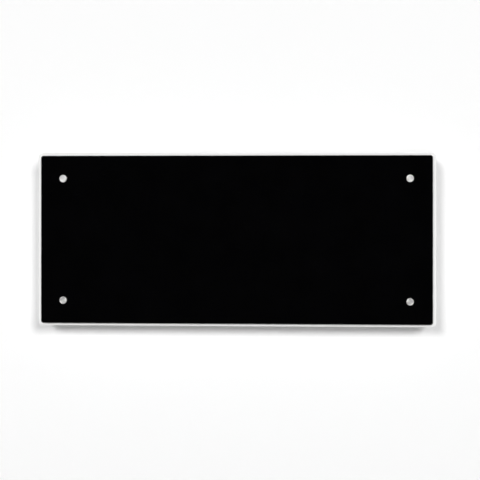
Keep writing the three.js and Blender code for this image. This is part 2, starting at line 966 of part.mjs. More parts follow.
// The well under the bezel, with a post in each corner for the board and a hole for its lead.
function controlBox() {
  const [reachX, reachDepth] = boxInner.map((size) => (size + controlBoxWall - controlPost) / 2);
  const posts = [-reachX, reachX].flatMap((x) =>
    [-reachDepth, reachDepth].map((depth) =>
      standing(
        controlX + x,
        controlDepth + depth,
        [controlPost, controlPost],
        boxBottom + controlBoxWall / 2,
        controlBoardBottom - seat,
      ),
    ),
  );
  const well = cut(
    standing(controlX, controlDepth, boxOuter, boxBottom, boxTop),
    standing(controlX, controlDepth, boxInner, boxBottom + controlBoxWall, boxTop + past),
    moved(
      uprightDisc(leadHole, boxBottom - past, boxBottom + controlBoxWall + past, smallSides),
      controlLeadX,
      -controlDepth,
      0,
    ),
  );
  return join(well, ...posts);
}

// The board with one push switch under each button.
function controlBoard() {
  const size = boxInner.map((inner) => inner - 2 * slip);
  const switches = buttonPlaces.map((x) =>
    standing(
      x,
      controlDepth,
      [keySwitch, keySwitch],
      controlBoardTop - controlBoardThickness / 2,
      keySwitchTop,
    ),
  );
  return join(standing(controlX, controlDepth, size, controlBoardBottom, controlBoardTop), ...switches);
}

function displayModule() {
  const size = [displayWidth, displayDepth].map((outer) => outer - 2 * displayLedge - 2 * slip);
  return standing(displayX, controlDepth, size, controlBoardTop + seat, lensBottom - 2 * seat);
}

const radioModule = () =>
  standing(
    controlX,
    controlDepth,
    [radioLength, displayDepth],
    controlBoardBottom - seat - radioHeight,
    controlBoardBottom - seat,
  );

// ---------------------------------------------------------------------------------------------------------
// Mains switch
// ---------------------------------------------------------------------------------------------------------

const rockerPivotX = casingRight - rockerPivotInset;

function switchHousing() {
  const inner = casingRight - switchBodyReach;
  const wellBottom = rockerPivotX - rockerThickness - past;
  const flangeOuter = casingRight - casingSheet - seat;
  const well = block(
    [wellBottom, switchDepth - rockerWidth / 2 - slip, switchZ - rockerLength / 2 - 2 * slip],
    [casingRight + past, switchDepth + rockerWidth / 2 + slip, switchZ + rockerLength / 2 + 2 * slip],
  );
  const pivotBore = disc(
    rockerPivotDiameter + 2 * slip,
    switchDepth - rockerWidth / 2 - 2 * slip - rockerPinReach,
    switchDepth + rockerWidth / 2 + 2 * slip + rockerPinReach,
    smallSides,
  );
  const blades = row(2, switchBladePitch).map((z) =>
    block(
      [inner - switchBladeLength, switchDepth - switchBladeWidth / 2, switchZ + z - switchBladeThickness / 2],
      [inner + past, switchDepth + switchBladeWidth / 2, switchZ + z + switchBladeThickness / 2],
    ),
  );
  return join(
    cut(
      join(
        switchBlock(0, inner, casingRight),
        switchBlock(switchRimOverlap, flangeOuter - switchRimThickness, flangeOuter),
      ),
      well,
      moved(pivotBore, rockerPivotX, 0, switchZ),
    ),
    ...blades,
  );
}

// The rocker about its pivot, as [out of the wall, up]: two wings that meet in a shallow valley.
function rocker() {
  const tip = rockerLength / 2;
  const wings = shapeOf([
    [-rockerThickness, -rockerFoot],
    [-rockerShoulder, -tip + rockerBevel],
    [rockerProud, -tip],
    [rockerValley, 0],
    [rockerProud, tip],
    [-rockerShoulder, tip - rockerBevel],
    [-rockerThickness, rockerFoot],
  ]);
  const body = new THREE.ExtrudeGeometry(wings, { depth: rockerWidth, bevelEnabled: false })
    .translate(0, 0, -rockerWidth / 2)
    .rotateX(Math.PI / 2);
  const pinEnd = rockerWidth / 2 + rockerPinReach;
  return join(body, disc(rockerPivotDiameter, -pinEnd, pinEnd, smallSides));
}

// ---------------------------------------------------------------------------------------------------------
// Power board, sensor and cord inlet
// ---------------------------------------------------------------------------------------------------------

const carrierFront = flangeInner - seat;
const carrierBack = carrierFront - carrierThickness;
const postBack = carrierBack - boardPostHeight;
const powerBoardFront = postBack - seat;
const powerBoardBack = powerBoardFront - boardThickness;

const boardCorners = row(2, boardWidth - 2 * boardPostInset).flatMap((x) =>
  row(2, boardHeight - 2 * boardPostInset).map((z) => [boardX + x, boardZ + z]),
);

function boardCarrier() {
  const [width, height] = [boardWidth + 2 * carrierMargin, boardHeight + 2 * carrierMargin];
  const outline = roundedOutline(width, height, carrierCorner, 2);
  const posts = boardCorners.map(([x, z]) =>
    moved(disc(boardPostDiameter, postBack, carrierBack + carrierThickness / 2, smallSides), x, 0, z),
  );
  return join(plate(shifted(outline, boardX, boardZ), carrierBack, carrierFront), ...posts);
}

function powerBoard() {
  const holes = boardCorners.map(([x, z]) => shifted(circle(boardPostDiameter / 2), x, z));
  const outline = shifted(roundedOutline(boardWidth, boardHeight, boardCorner, 2), boardX, boardZ);
  return plate(outline, powerBoardBack, powerBoardFront, holes);
}

const boardFace = powerBoardBack - seat;
const relayZ = boardZ + boardHeight / 2 - relayInset;
const terminalZ = boardZ - boardHeight / 2 + terminalInset;
const terminalBottom = terminalZ - terminalHeight / 2;
const terminalBack = boardFace - terminalDepth;
const poleX = row(terminalPoles, terminalWidth / terminalPoles).map((x) => boardX + x);

const onBoard = (width, height, depth, z) =>
  block(
    [boardX - width / 2, boardFace - depth, z - height / 2],
    [boardX + width / 2, boardFace, z + height / 2],
  );

const relay = () => onBoard(relayWidth, relayHeight, relayDepth, relayZ);

// A terminal block with a lead-in and a screw well for each pole.
function terminalBlock() {
  const entryBack = terminalBack + terminalEntryBack;
  const wells = poleX.flatMap((x) => [
    block(
      [x - terminalEntryWidth / 2, entryBack, terminalBottom - past],
      [x + terminalEntryWidth / 2, entryBack + terminalEntryDepth, terminalBottom + terminalEntryLength],
    ),
    moved(
      disc(terminalScrewHole, terminalBack - past, terminalBack + terminalScrewDepth, smallSides),
      x,
      0,
      terminalZ,
    ),
  ]);
  return cut(onBoard(terminalWidth, terminalHeight, terminalDepth, terminalZ), ...wells);
}

// A bush in the bottom wall that holds the room sensor.
function sensorHolder() {
  const bore = sensorDiameter / 2 + slip;
  const body = sensorHolderDiameter / 2;
  const ledge = -wallInner + seat;
  return turnedUpright(
    [
      [bore, -casingTop],
      [body, -casingTop],
      [body, ledge],
      [sensorHolderFlange / 2, ledge],
      [sensorHolderFlange / 2, ledge + sensorHolderFlangeThickness],
      [body, ledge + sensorHolderFlangeThickness],
      [body, -casingTop + sensorHolderHeight],
      [bore, -casingTop + sensorHolderHeight],
      [bore, -casingTop],
    ],
    turnedSides,
  );
}

const roomSensor = () =>
  turnedUpright(
    [
      [0, -casingTop + seat],
      [sensorDiameter / 2 - sensorNose, -casingTop + seat],
      [sensorDiameter / 2, -casingTop + seat + sensorNose],
      [sensorDiameter / 2, -casingTop + sensorLength],
      [0, -casingTop + sensorLength],
    ],
    turnedSides,
  );

const glandFront = fieldFront + seat + glandNutThickness + glandProud;

// A flanged bush through the cover, open right through for the mains cord.
function cordGland() {
  const headFront = fieldBack - seat;
  return turned(
    [
      [glandBore / 2, headFront - glandHeadHeight],
      [glandHeadDiameter / 2 - glandBevel, headFront - glandHeadHeight],
      [glandHeadDiameter / 2, headFront - glandHeadHeight + glandBevel],
      [glandHeadDiameter / 2, headFront],
      [glandDiameter / 2, headFront],
      [glandDiameter / 2, glandFront],
      [glandBore / 2, glandFront],
      [glandBore / 2, headFront - glandHeadHeight],
    ],
    studSides,
  );
}

const glandNut = () =>
  plate(hexagon(glandNutAcross), fieldFront + seat, fieldFront + seat + glandNutThickness, [
    circle((glandDiameter + 2 * seat) / Math.cos(Math.PI / turnedSides), turnedSides),
  ]);

// ---------------------------------------------------------------------------------------------------------
// Wiring
// ---------------------------------------------------------------------------------------------------------

// A round lead along a smooth curve through places given as [x, depth, z].
function lead(places, diameter, steps) {
  const line = new THREE.CatmullRomCurve3(
    places.map(([x, depth, z]) => new THREE.Vector3(x, -depth, z)),
    false,
    "centripetal",
  );
  const section = shapeOf(circle(diameter, leadSides));
  return closed(new THREE.ExtrudeGeometry(section, { steps, extrudePath: line }));
}

const loomX = tabX - loomInset;
const loomDepth = trayFloorBack - seat - loomDiameter / 2;
const loomEnd = cutoutX + loomReach;
const wireDepth = loomDepth - loomDiameter;

// From the sleeve through the tray and the insulation to the back of a track tab, above or below.
function tabWire(tabZ) {
  const side = Math.sign(tabZ);
  const start = tabZ - side * (loomBend + loomReach);
  return lead(
    [
      [loomX, loomDepth, start],
      [loomX, loomDepth, start + side * loomBend],
      [loomX + loomInset / 2, wireDepth, (start + tabZ) / 2 + side * loomBend],
      [tabX, wireDepth - 1, tabZ - side * 5],
      [tabX, wireDepth + 3, tabZ],
      [tabX, trayFloorBack, tabZ],
      [tabX, trackBack - seat, tabZ],
    ],
    wireDiameter,
    wireSteps,
  );
}

// From the lower end of the sleeve to a pole of the terminal block, which it enters from below.
function terminalWire(x, low) {
  const entryDepth = terminalBack + terminalEntryBack + terminalEntryDepth / 2;
  return lead(
    [
      [loomX, loomDepth, -loomReach + loomBend],
      [loomX, loomDepth, -loomReach],
      [loomX + 2, wireDepth, low + 2 * loomBend],
      [loomX + loomBend + 6, wireDepth - 3, low + 4],
      [(loomX + x) / 2 + 4, wireDepth, low],
      [x - loomBend, entryDepth - 2, low + 3],
      [x - 1, entryDepth, low + loomBend],
      [x, entryDepth, terminalBottom],
      [x, entryDepth, terminalBottom + terminalEntryLength - seat],
    ],
    wireDiameter,
    wireSteps + 6,
  );
}

// From the end of the sleeve to one tab of the cut-out: straight, or round below it to the far tab.
function cutoutWire(side) {
  const tabDepth = cutoutBack - cutoutTabThickness / 2;
  const tip = cutoutX + side * (cutoutTabReach + seat);
  const start = [
    [loomEnd + loomBend, loomDepth, cutoutZ],
    [loomEnd, loomDepth, cutoutZ],
  ];
  const round = [
    [cutoutX + loomBend, tabDepth, cutoutZ - cutoutDiameter],
    [cutoutX - loomBend, tabDepth, cutoutZ - cutoutDiameter],
    [tip - 9, tabDepth, cutoutZ - 9],
    [tip - 6, tabDepth, cutoutZ],
  ];
  const direct = [[tip + 6, tabDepth, cutoutZ]];
  const places = [...start, ...(side < 0 ? round : direct), [tip, tabDepth, cutoutZ]];
  return lead(places, wireDiameter, wireSteps);
}

// The sleeved loom between the track, the cut-out and the terminal block.
function wiringLoom() {
  const sleeve = lead(
    [
      [loomX, loomDepth, -loomReach],
      [loomX, loomDepth, 0],
      [loomX, loomDepth, cutoutZ - loomBend],
      [loomX - loomBend * 0.3, loomDepth, cutoutZ - loomBend * 0.3],
      [loomX - loomBend, loomDepth, cutoutZ],
      [(loomX + loomEnd) / 2, loomDepth, cutoutZ],
      [loomEnd, loomDepth, cutoutZ],
    ],
    loomDiameter,
    loomSteps,
  );
  const low = terminalBottom - 2 * loomBend;
  return join(
    sleeve,
    ...tabRows.map(tabWire),
    ...[-1, 1].map(cutoutWire),
    terminalWire(poleX[terminalPoles - 2], low),
    terminalWire(poleX[terminalPoles - 1], low - 2 * wireDiameter),
  );
}

// From the underside of the control board, through its box, to the upper end of the power board.
function controlLead() {
  const landing = boardZ + boardHeight / 2 - loomBend;
  const landingX = boardX - boardWidth / 2 + boardPostInset + loomBend / 2;
  return lead(
    [
      [controlLeadX, controlDepth, controlBoardBottom - seat],
      [controlLeadX, controlDepth, boxBottom - past],
      [controlLeadX + 2, controlDepth, boxBottom - 2 * loomBend],
      [controlLeadX + 10, controlDepth - 2, (boxBottom + landing) / 2],
      [landingX - 2, controlDepth - 3, landing + 2 * loomBend],
      [landingX, controlDepth - 1, landing + loomBend / 2],
      [landingX, boardFace - 5, landing],
      [landingX, boardFace, landing],
    ],
    controlLeadDiameter,
    loomSteps,
  );
}

// ---------------------------------------------------------------------------------------------------------
// Wall bracket and latches
// ---------------------------------------------------------------------------------------------------------

const latchBottom = latchTop - latchHeight;
const shelfTop = latchBottom - springLength - 2 * seat;
const rivetZ = latchBottom + latchTravel + rivetDiameter / 2 + rivetMargin;
const latchBack = bracketSheet + slip;
const latchFront = uprightDepth - latchInset;
const springDepth = (bracketSheet + latchFront) / 2;

function bracketChannel() {
  const half = uprightWidth / 2;
  const section = [
    [-half, 0],
    [half, 0],
    [half, uprightDepth],
    [half - bracketSheet, uprightDepth],
    [half - bracketSheet, bracketSheet],
    [-half + bracketSheet, bracketSheet],
    [-half + bracketSheet, uprightDepth],
    [-half, uprightDepth],
  ];
  return column(section, uprightBottom, uprightTop);
}

// A hook cut in the channel's outer flange, as [depth, up]: an arm with a lip that rises inside the cover.
function bracketHook() {
  const lipInner = fieldFront + hookReach;
  const lipOuter = lipInner + hookLipThickness;
  const armBottom = hookTop - hookArmHeight;
  const lipTop = hookTop + hookLipHeight;
  const root = uprightDepth - hookRootDepth;
  return profile(
    [
      [root, armBottom - hookRootDepth],
      [uprightDepth, armBottom - hookRootDepth],
      [uprightDepth + hookRootDepth, armBottom],
      [lipOuter - hookLipBevel, armBottom],
      [lipOuter, armBottom + hookLipBevel],
      [lipOuter, lipTop - hookLipBevel],
      [lipOuter - hookLipBevel / 2, lipTop],
      [lipInner + hookLipBevel / 2, lipTop],
      [lipInner, lipTop - hookLipBevel],
      [lipInner, hookTop],
      [uprightDepth + hookRootHeight, hookTop],
      [uprightDepth, hookTop + hookRootHeight],
      [root, hookTop + hookRootHeight],
    ],
    -bracketSheet / 2,
    bracketSheet / 2,
  );
}

const springPeg = (bottom, top) =>
  moved(uprightDisc(springPegDiameter, bottom, top, smallSides), 0, -springDepth, 0);

// The shelf across a channel that the latch spring stands on.
function springShelf() {
  const half = uprightWidth / 2 - bracketSheet / 2;
  return join(
    block([-half, bracketSheet / 2, shelfTop - shelfThickness], [half, latchFront, shelfTop]),
    springPeg(shelfTop - shelfThickness / 2, shelfTop + springPegHeight),
  );
}

function crossbar() {
  const half = uprightSpacing / 2 - uprightWidth / 2 + bracketSheet / 2;
  const section = [
    [0, -crossbarHeight / 2],
    [crossbarLip, -crossbarHeight / 2],
    [crossbarLip, -crossbarHeight / 2 + bracketSheet],
    [bracketSheet, -crossbarHeight / 2 + bracketSheet],
    [bracketSheet, crossbarHeight / 2 - bracketSheet],
    [crossbarLip, crossbarHeight / 2 - bracketSheet],
    [crossbarLip, crossbarHeight / 2],
    [0, crossbarHeight / 2],
  ];
  return profile(section, -half, half);
}

function wallBracket() {
  const uprights = row(2, uprightSpacing);
  const slot = slotOutline(wallSlotLength, wallSlotWidth);
  const slotPlaces = [
    ...uprights.flatMap((x) => [
      [x, uprightBottom + wallSlotInset],
      [x, crossbarHeight / 2 + wallSlotGap],
    ]),
    ...row(2, uprightSpacing / 2).map((x) => [x, 0]),
  ];
  const solid = join(
    ...uprights.map((x) => moved(bracketChannel(), x, 0, 0)),
    crossbar(),
    ...[-hookX, hookX].map((x) => moved(bracketHook(), x, 0, 0)),
    ...uprights.map((x) => moved(springShelf(), x, 0, 0)),
  );
  return cut(
    solid,
    ...slotPlaces.map(([x, z]) => plate(shifted(slot, x, z), -past, bracketSheet + past)),
    ...uprights.map((x) => moved(disc(rivetDiameter + 2 * seat, -past, bracketSheet + past), x, 0, rivetZ)),
  );
}

// The latch slides in its channel; its nose passes through the cover and rises behind it.
function latch() {
  const half = uprightWidth / 2 - bracketSheet - slip;
  const nose = latchNoseWidth / 2;
  const noseBottom = latchNoseTop - latchNoseHeight;
  const lipInner = fieldFront + latchLipGap;
  const lipOuter = lipInner + latchLipThickness;
  const guide = rivetDiameter + 2 * slip;
  const guideSlot = slotOutline(guide + latchTravel, guide, 3).map(([along, across]) => [
    across,
    rivetZ + latchTravel / 2 + along,
  ]);
  return cut(
    join(
      block([-half, latchBack, latchBottom], [half, latchFront, latchTop]),
      block(
        [-latchTabWidth / 2, latchFront - latchTabDepth, latchTop - past],
        [latchTabWidth / 2, latchFront, latchTop + latchTabHeight],
      ),
      profile(
        [
          [latchFront - past, noseBottom],
          [lipOuter, noseBottom],
          [lipOuter, latchNoseTop + latchLipHeight - latchLipBevel],
          [lipOuter - latchLipBevel / 2, latchNoseTop + latchLipHeight],
          [lipInner, latchNoseTop + latchLipHeight],
          [lipInner, latchNoseTop],
          [latchFront - past, latchNoseTop],
        ],
        -nose,
        nose,
      ),
      springPeg(latchBottom - springPegHeight, latchBottom + past),
    ),
    plate(guideSlot, 0, latchFront + past),
  );
}

// The shouldered rivet that guides a latch and keeps it in its channel.
function latchRivet() {
  const headBack = latchFront + seat;
  return turned([
    [0, seat],
    [rivetDiameter / 2, seat],
    [rivetDiameter / 2, headBack],
    [rivetHeadDiameter / 2, headBack],
    [rivetHeadDiameter / 2, headBack + rivetHeadHeight / 2],
    [rivetHeadDiameter / 2 - rivetHeadBevel, headBack + rivetHeadHeight],
    [0, headBack + rivetHeadHeight],
  ]);
}

// Points along a compression spring's wire: straight for one wire diameter at each end, a helix between.
function springPath() {
  const radius = (springDiameter - springWire) / 2;
  const rise = springLength - 2 * springWire;
  const steps = springTurns * springSteps;
  const bottom = shelfTop + seat;
  const onHelix = (i) => {
    const angle = (i / springSteps) * 2 * Math.PI;
    return new THREE.Vector3(
      radius * Math.cos(angle),
      radius * Math.sin(angle),
      bottom + springWire + (rise * i) / steps,
    );
  };
  const helix = Array.from({ length: steps + 1 }, (_, i) => onHelix(i));
  const first = helix[0].clone().setZ(bottom);
  const last = helix[steps].clone().setZ(bottom + springLength);
  return [first, ...helix, last];
}

// The wire as one unbroken tube along its path.
function latchSpring() {
  const path = springPath();
  const up = new THREE.Vector3(0, 0, 1);
  const rings = path.map((point, i) => {
    const ends = i <= 1 || i >= path.length - 2;
    const tangent = ends ? up : path[i + 1].clone().sub(path[i - 1]).normalize();
    const outward = new THREE.Vector3(point.x, point.y, 0).normalize();
    const across = tangent.clone().cross(outward).normalize();
    return Array.from({ length: springSides }, (_, k) => {
      const angle = (k / springSides) * 2 * Math.PI;
      const corner = point
        .clone()
        .addScaledVector(outward, (springWire / 2) * Math.cos(angle))
        .addScaledVector(across, (springWire / 2) * Math.sin(angle));
      return corner.toArray();
    });
  });
  return skin(rings, false).translate(0, -springDepth, 0);
}

// The least gap between the spring's wire and itself, measured between points on neighbouring turns.
function springGap() {
  const path = springPath();
  let least = Infinity;
  for (let i = 0; i < path.length; i++) {
    for (let j = i + Math.floor(springSteps / 2); j < path.length; j++) {
      least = Math.min(least, path[i].distanceTo(path[j]) - springWire);
    }
  }
  return least;
}

console.log("latch spring: least gap to itself " + springGap().toFixed(2) + " mm");

// ---------------------------------------------------------------------------------------------------------
// Assembly
// ---------------------------------------------------------------------------------------------------------

const panelHeater = new THREE.Group();
panelHeater.name = "panel_heater";

function add(name, geometry, material, x = 0, z = 0, depth = 0) {
  const mesh = new THREE.Mesh(geometry, material);
  mesh.name = name;
  mesh.position.set(x, -depth, z);
  panelHeater.add(mesh);
  return mesh;
}

add("glass_front", glassPanel(), materials.blackGlass);
for (const [place, x, z] of studPlaces) {
  add("stud_" + place, stud(), materials.satinSteel, x, z);
  add("stud_gasket_" + place, studGasket(), materials.silicone, x, z);
  add("glass_spacer_" + place, spacer(), materials.silicone, x, z);
  add("stud_nut_" + place, collarNut(), materials.zincSteel, x, z);
}
add("casing", casing(), materials.whitePaint);
add("rear_cover", rearCover(), materials.whitePaint);
coverScrewPlaces.forEach(([x, z], i) =>
  add("cover_screw_" + (i + 1), coverScrew(), materials.zincSteel, x, z),
);

add("element_sheet", elementSheet(), materials.mica);
add("heating_track", heatingTrack(), materials.trackFoil);
add("insulation_mat", insulationMat(), materials.insulation);
add("insulation_tray", insulationTray(), materials.aluminium);
add("thermal_cutout", thermalCutout(), materials.blackPlastic, cutoutX, cutoutZ);

add("control_bezel", controlBezel(), materials.blackPlastic);
add("display_lens", displayLens(), materials.lens);
["power", "minus", "plus"].forEach((use, i) =>
  add("button_" + use, button(), materials.whitePlastic, buttonPlaces[i], 0, controlDepth),
);
add("control_box", controlBox(), materials.blackPlastic);
add("control_board", controlBoard(), materials.board);
add("display_module", displayModule(), materials.blackPlastic);
add("radio_module", radioModule(), materials.zincSteel);

add("switch_housing", switchHousing(), materials.blackPlastic);
const rockerFinish = materials.blackPlastic;
const rockerMesh = add("switch_rocker", rocker(), rockerFinish, rockerPivotX, switchZ, switchDepth);
rockerMesh.rotation.y = THREE.MathUtils.degToRad(rockerAngle);

add("board_carrier", boardCarrier(), materials.whitePlastic);
add("power_board", powerBoard(), materials.board);
add("relay", relay(), materials.blackPlastic);
add("terminal_block", terminalBlock(), materials.whitePlastic);
add("sensor_holder", sensorHolder(), materials.whitePlastic, sensorX, 0, sensorDepth);
add("room_sensor", roomSensor(), materials.satinSteel, sensorX, 0, sensorDepth);
add("cord_gland", cordGland(), materials.blackPlastic, glandX, glandZ);
add("gland_nut", glandNut(), materials.blackPlastic, glandX, glandZ);
add("wiring_loom", wiringLoom(), materials.silicone);
add("control_lead", controlLead(), materials.blackPlastic);

add("wall_bracket", wallBracket(), materials.whitePaint);
for (const [side, x] of [
  ["left", -uprightSpacing / 2],
  ["right", uprightSpacing / 2],
]) {
  add("latch_" + side, latch(), materials.blackPlastic, x);
  add("latch_rivet_" + side, latchRivet(), materials.zincSteel, x, rivetZ);
  add("latch_spring_" + side, latchSpring(), materials.springSteel, x);
}

export default panelHeater;
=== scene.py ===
"""A wall-hung glass panel heater dressed around its packed frame: glass, studs, casing, bracket, controls.

Metres. +X is to the right seen from the front, +Z is up, the glass faces -Y and the wall is at Y = 0.
"""

import math

import bmesh
import bpy
from bpy.props import FloatProperty, FloatVectorProperty, IntProperty, PointerProperty
from bpy.types import Operator, Panel, PropertyGroup
from mathutils import Matrix, Vector


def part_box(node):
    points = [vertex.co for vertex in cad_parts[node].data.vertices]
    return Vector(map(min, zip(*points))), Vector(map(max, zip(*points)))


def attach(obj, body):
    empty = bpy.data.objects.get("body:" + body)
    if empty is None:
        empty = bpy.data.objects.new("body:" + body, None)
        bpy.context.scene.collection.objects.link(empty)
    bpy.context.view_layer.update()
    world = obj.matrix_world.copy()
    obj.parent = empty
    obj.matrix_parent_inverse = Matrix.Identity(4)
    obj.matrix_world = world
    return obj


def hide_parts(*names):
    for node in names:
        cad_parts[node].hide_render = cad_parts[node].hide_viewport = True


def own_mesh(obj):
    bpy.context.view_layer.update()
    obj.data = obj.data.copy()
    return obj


bl_info = {
    "name": "Glass Panel Heater",
    "version": (1, 0, 0),
    "blender": (4, 5, 0),
    "location": "View3D > Sidebar > Panel Heater",
    "description": "Builds the glass, casing, studs, bracket, controls and stage of a glass panel heater",
    "category": "Object",
}

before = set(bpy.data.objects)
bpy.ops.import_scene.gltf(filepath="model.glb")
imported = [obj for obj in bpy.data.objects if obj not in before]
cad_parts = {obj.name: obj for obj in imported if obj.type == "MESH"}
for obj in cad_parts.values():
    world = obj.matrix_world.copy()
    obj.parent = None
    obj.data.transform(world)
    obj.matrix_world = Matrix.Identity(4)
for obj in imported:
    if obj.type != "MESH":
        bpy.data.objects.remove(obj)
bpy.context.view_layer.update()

MM = 0.001
TINY = 1e-6
SMOOTH_ANGLE = 35.0
CORNERS = ("top_left", "top_right", "bottom_left", "bottom_right")
SIDES = ("left", "right")
BUTTONS = ("power", "minus", "plus")
COVER_SCREWS = [f"cover_screw_{number}" for number in range(1, 9)]
ZINC = (0.6, 0.61, 0.62)
BOARD_GREEN = (0.012, 0.09, 0.035)

# Among a colour mix node's sockets: the factor and the two colours, and the mixed colour.
COLOUR_MIX_INPUTS = (0, 6, 7)
COLOUR_MIX_RESULT = 2


# ---------------------------- Places read from the frame ----------------------------


def middle_of(node):
    """The middle of a node's box at rest."""
    low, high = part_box(node)
    return (low + high) / 2


def span_of(node):
    """The size of a node's box at rest."""
    low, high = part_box(node)
    return high - low


def stud_places():
    """The middle of each stud, as (x, z)."""
    middles = {corner: middle_of("stud_" + corner) for corner in CORNERS}
    return {corner: (middle.x, middle.z) for corner, middle in middles.items()}


# ---------------------------- Outlines ----------------------------


def fractions(steps):
    """Even steps from 0 to 1, both among them."""
    return [i / steps for i in range(steps + 1)]


def rounded_outline(width, height, radius, steps):
    """Points round a rounded rectangle about its middle, as (across, up)."""
    points = []
    for quarter, (side_x, side_z) in enumerate(((1, 1), (-1, 1), (-1, -1), (1, -1))):
        for t in fractions(steps):
            angle = (quarter + t) * math.pi / 2
            across = side_x * (width / 2 - radius) + radius * math.cos(angle)
            up = side_z * (height / 2 - radius) + radius * math.sin(angle)
            points.append((across, up))
    return points


def slot_outline(slot_length, width, steps=8):
    """A slot with round ends about its middle."""
    return rounded_outline(slot_length, width, width / 2 - TINY, steps)


def circle_outline(radius, steps):
    """Points round a circle about its middle, as (across, up)."""
    turns = [2 * math.pi * i / steps for i in range(steps)]
    return [(radius * math.cos(a), radius * math.sin(a)) for a in turns]


def bar_outline(across, up, middle=0.0):
    """The corners of a bar, given its half sizes and the height of its middle."""
    low, high = middle - up, middle + up
    return [(-across, low), (across, low), (across, high), (-across, high)]


def open_ring(radius, inner_share, opening, steps):
    """A ring with a gap that reaches to either side of its top by the opening, an angle."""

    def from_top(point):
        """The angle of a point clockwise from the top."""
        return math.atan2(point[0], point[1])

    outer = [point for point in circle_outline(radius, steps) if abs(from_top(point)) > opening]
    outer.sort(key=lambda point: from_top(point) % (2 * math.pi))
    return outer + [(across * inner_share, up * inner_share) for across, up in reversed(outer)]


def shifted(outline, across, up):
    """An outline moved across and up."""
    return [(a + across, b + up) for a, b in outline]


def bend_points(centre, radius, start, end, steps):
    """Points of an arc about a centre, its angles in degrees."""
    points = []
    for t in fractions(steps):
        angle = math.radians(start + (end - start) * t)
        points.append((centre[0] + radius * math.cos(angle), centre[1] + radius * math.sin(angle)))
    return points


def hollow(radius, rim, depth, steps=8):
    """The section of a dished face from its middle to its rim, as (radius, along)."""
    return [(radius * t, rim + depth * (1 - t**2)) for t in fractions(steps)]


def shank_section(radius, seat, end, taper, narrowing):
    """The section of a shank from its seat to the middle of its chamfered end, as (radius, along)."""
    return [(radius, seat), (radius, end - taper), (radius - narrowing, end), (0.0, end)]


# ---------------------------- Mesh tools ----------------------------


def linked(name, data):
    """A new object in the scene."""
    made = bpy.data.objects.new(name, data)
    bpy.context.scene.collection.objects.link(made)
    return made


def object_from(bm, name, place=(0.0, 0.0, 0.0), smooth_angle=SMOOTH_ANGLE):
    """Turns a bmesh into a linked object that is smooth where its faces meet at less than the angle."""
    bmesh.ops.remove_doubles(bm, verts=bm.verts, dist=1e-7)
    bmesh.ops.recalc_face_normals(bm, faces=bm.faces)
    mesh = bpy.data.meshes.new(name)
    bm.to_mesh(mesh)
    bm.free()
    mesh.shade_smooth()
    mesh.set_sharp_from_angle(angle=math.radians(smooth_angle))
    made = linked(name, mesh)
    made.location = place
    return made


def add_ring(bm, points):
    """New vertices at the points, in order."""
    return [bm.verts.new(point) for point in points]


def bridge(bm, first, second):
    """Joins two rings of as many vertices with four-sided faces."""
    count = len(first)
    for i in range(count):
        j = (i + 1) % count
        bm.faces.new((first[i], first[j], second[j], second[i]))


def sweep(bm, profile, loop):
    """Skins rings of points along a profile and returns the rings."""
    rings = [add_ring(bm, points) for points in profile]
    for first, second in zip(rings, rings[1:]):
        bridge(bm, first, second)
    if loop:
        bridge(bm, rings[-1], rings[0])
    return rings


def ring_edges(bm, ring):
    """The edges along a closed ring, made where they are missing."""
    pairs = zip(ring, ring[1:] + ring[:1])
    return [bm.edges.get(pair) or bm.edges.new(pair) for pair in pairs]


def fill_between(bm, rings):
    """Fills the flat area inside the first ring and outside the others."""
    edges = [edge for ring in rings for edge in ring_edges(bm, ring)]
    bmesh.ops.triangle_fill(bm, edges=edges, use_beauty=True)


def add_prism(bm, outline, axis, low, high):
    """A closed prism of an outline: along Y its points are (x, z), along Z (x, y) and along X (y, z)."""
    order = {
        "X": lambda a, b, t: (t, a, b),
        "Y": lambda a, b, t: (a, t, b),
        "Z": lambda a, b, t: (a, b, t),
    }
    place = order[axis]
    first = add_ring(bm, [place(a, b, low) for a, b in outline])
    second = add_ring(bm, [place(a, b, high) for a, b in outline])
    bridge(bm, first, second)
    bm.faces.new(first)
    bm.faces.new(second)


def turned(name, profile, steps, place, axis="Y", smooth_angle=SMOOTH_ANGLE):
    """A turned piece about an axis through its place: the profile is (radius, along), from axis to axis."""
    bm = bmesh.new()
    rings = []
    for radius, along in profile:
        outline = circle_outline(radius, steps) if radius > 0 else [(0.0, 0.0)]
        rings.append(add_ring(bm, [(x, along, z) for x, z in outline]))
    for first, second in zip(rings, rings[1:]):
        if len(first) > 1 and len(second) > 1:
            bridge(bm, first, second)
        elif len(first) > 1 or len(second) > 1:
            centre, ring = (first[0], second) if len(first) == 1 else (second[0], first)
            for i in range(steps):
                bm.faces.new((centre, ring[i], ring[(i + 1) % steps]))
    if axis == "Z":
        for vertex in bm.verts:
            x, y, z = vertex.co
            vertex.co = (x, -z, y)
    return object_from(bm, name, place, smooth_angle)


def cut_away(target, cutter):
    """Cuts the cutter out of the target and removes it."""
    modifier = target.modifiers.new("cut", "BOOLEAN")
    modifier.operation = "DIFFERENCE"
    modifier.solver = "EXACT"
    modifier.object = cutter
    bpy.context.view_layer.update()
    graph = bpy.context.evaluated_depsgraph_get()
    cut_mesh = bpy.data.meshes.new_from_object(target.evaluated_get(graph))
    target.modifiers.clear()
    target.data = cut_mesh
    cut_mesh.shade_smooth()
    cut_mesh.set_sharp_from_angle(angle=math.radians(SMOOTH_ANGLE))
    bpy.data.objects.remove(cutter)


def weight_normals(target):
    """Keeps broad flat faces flat where they meet a rounded bend."""
    modifier = target.modifiers.new("even shading", "WEIGHTED_NORMAL")
    modifier.keep_sharp = True
    modifier.weight = 100


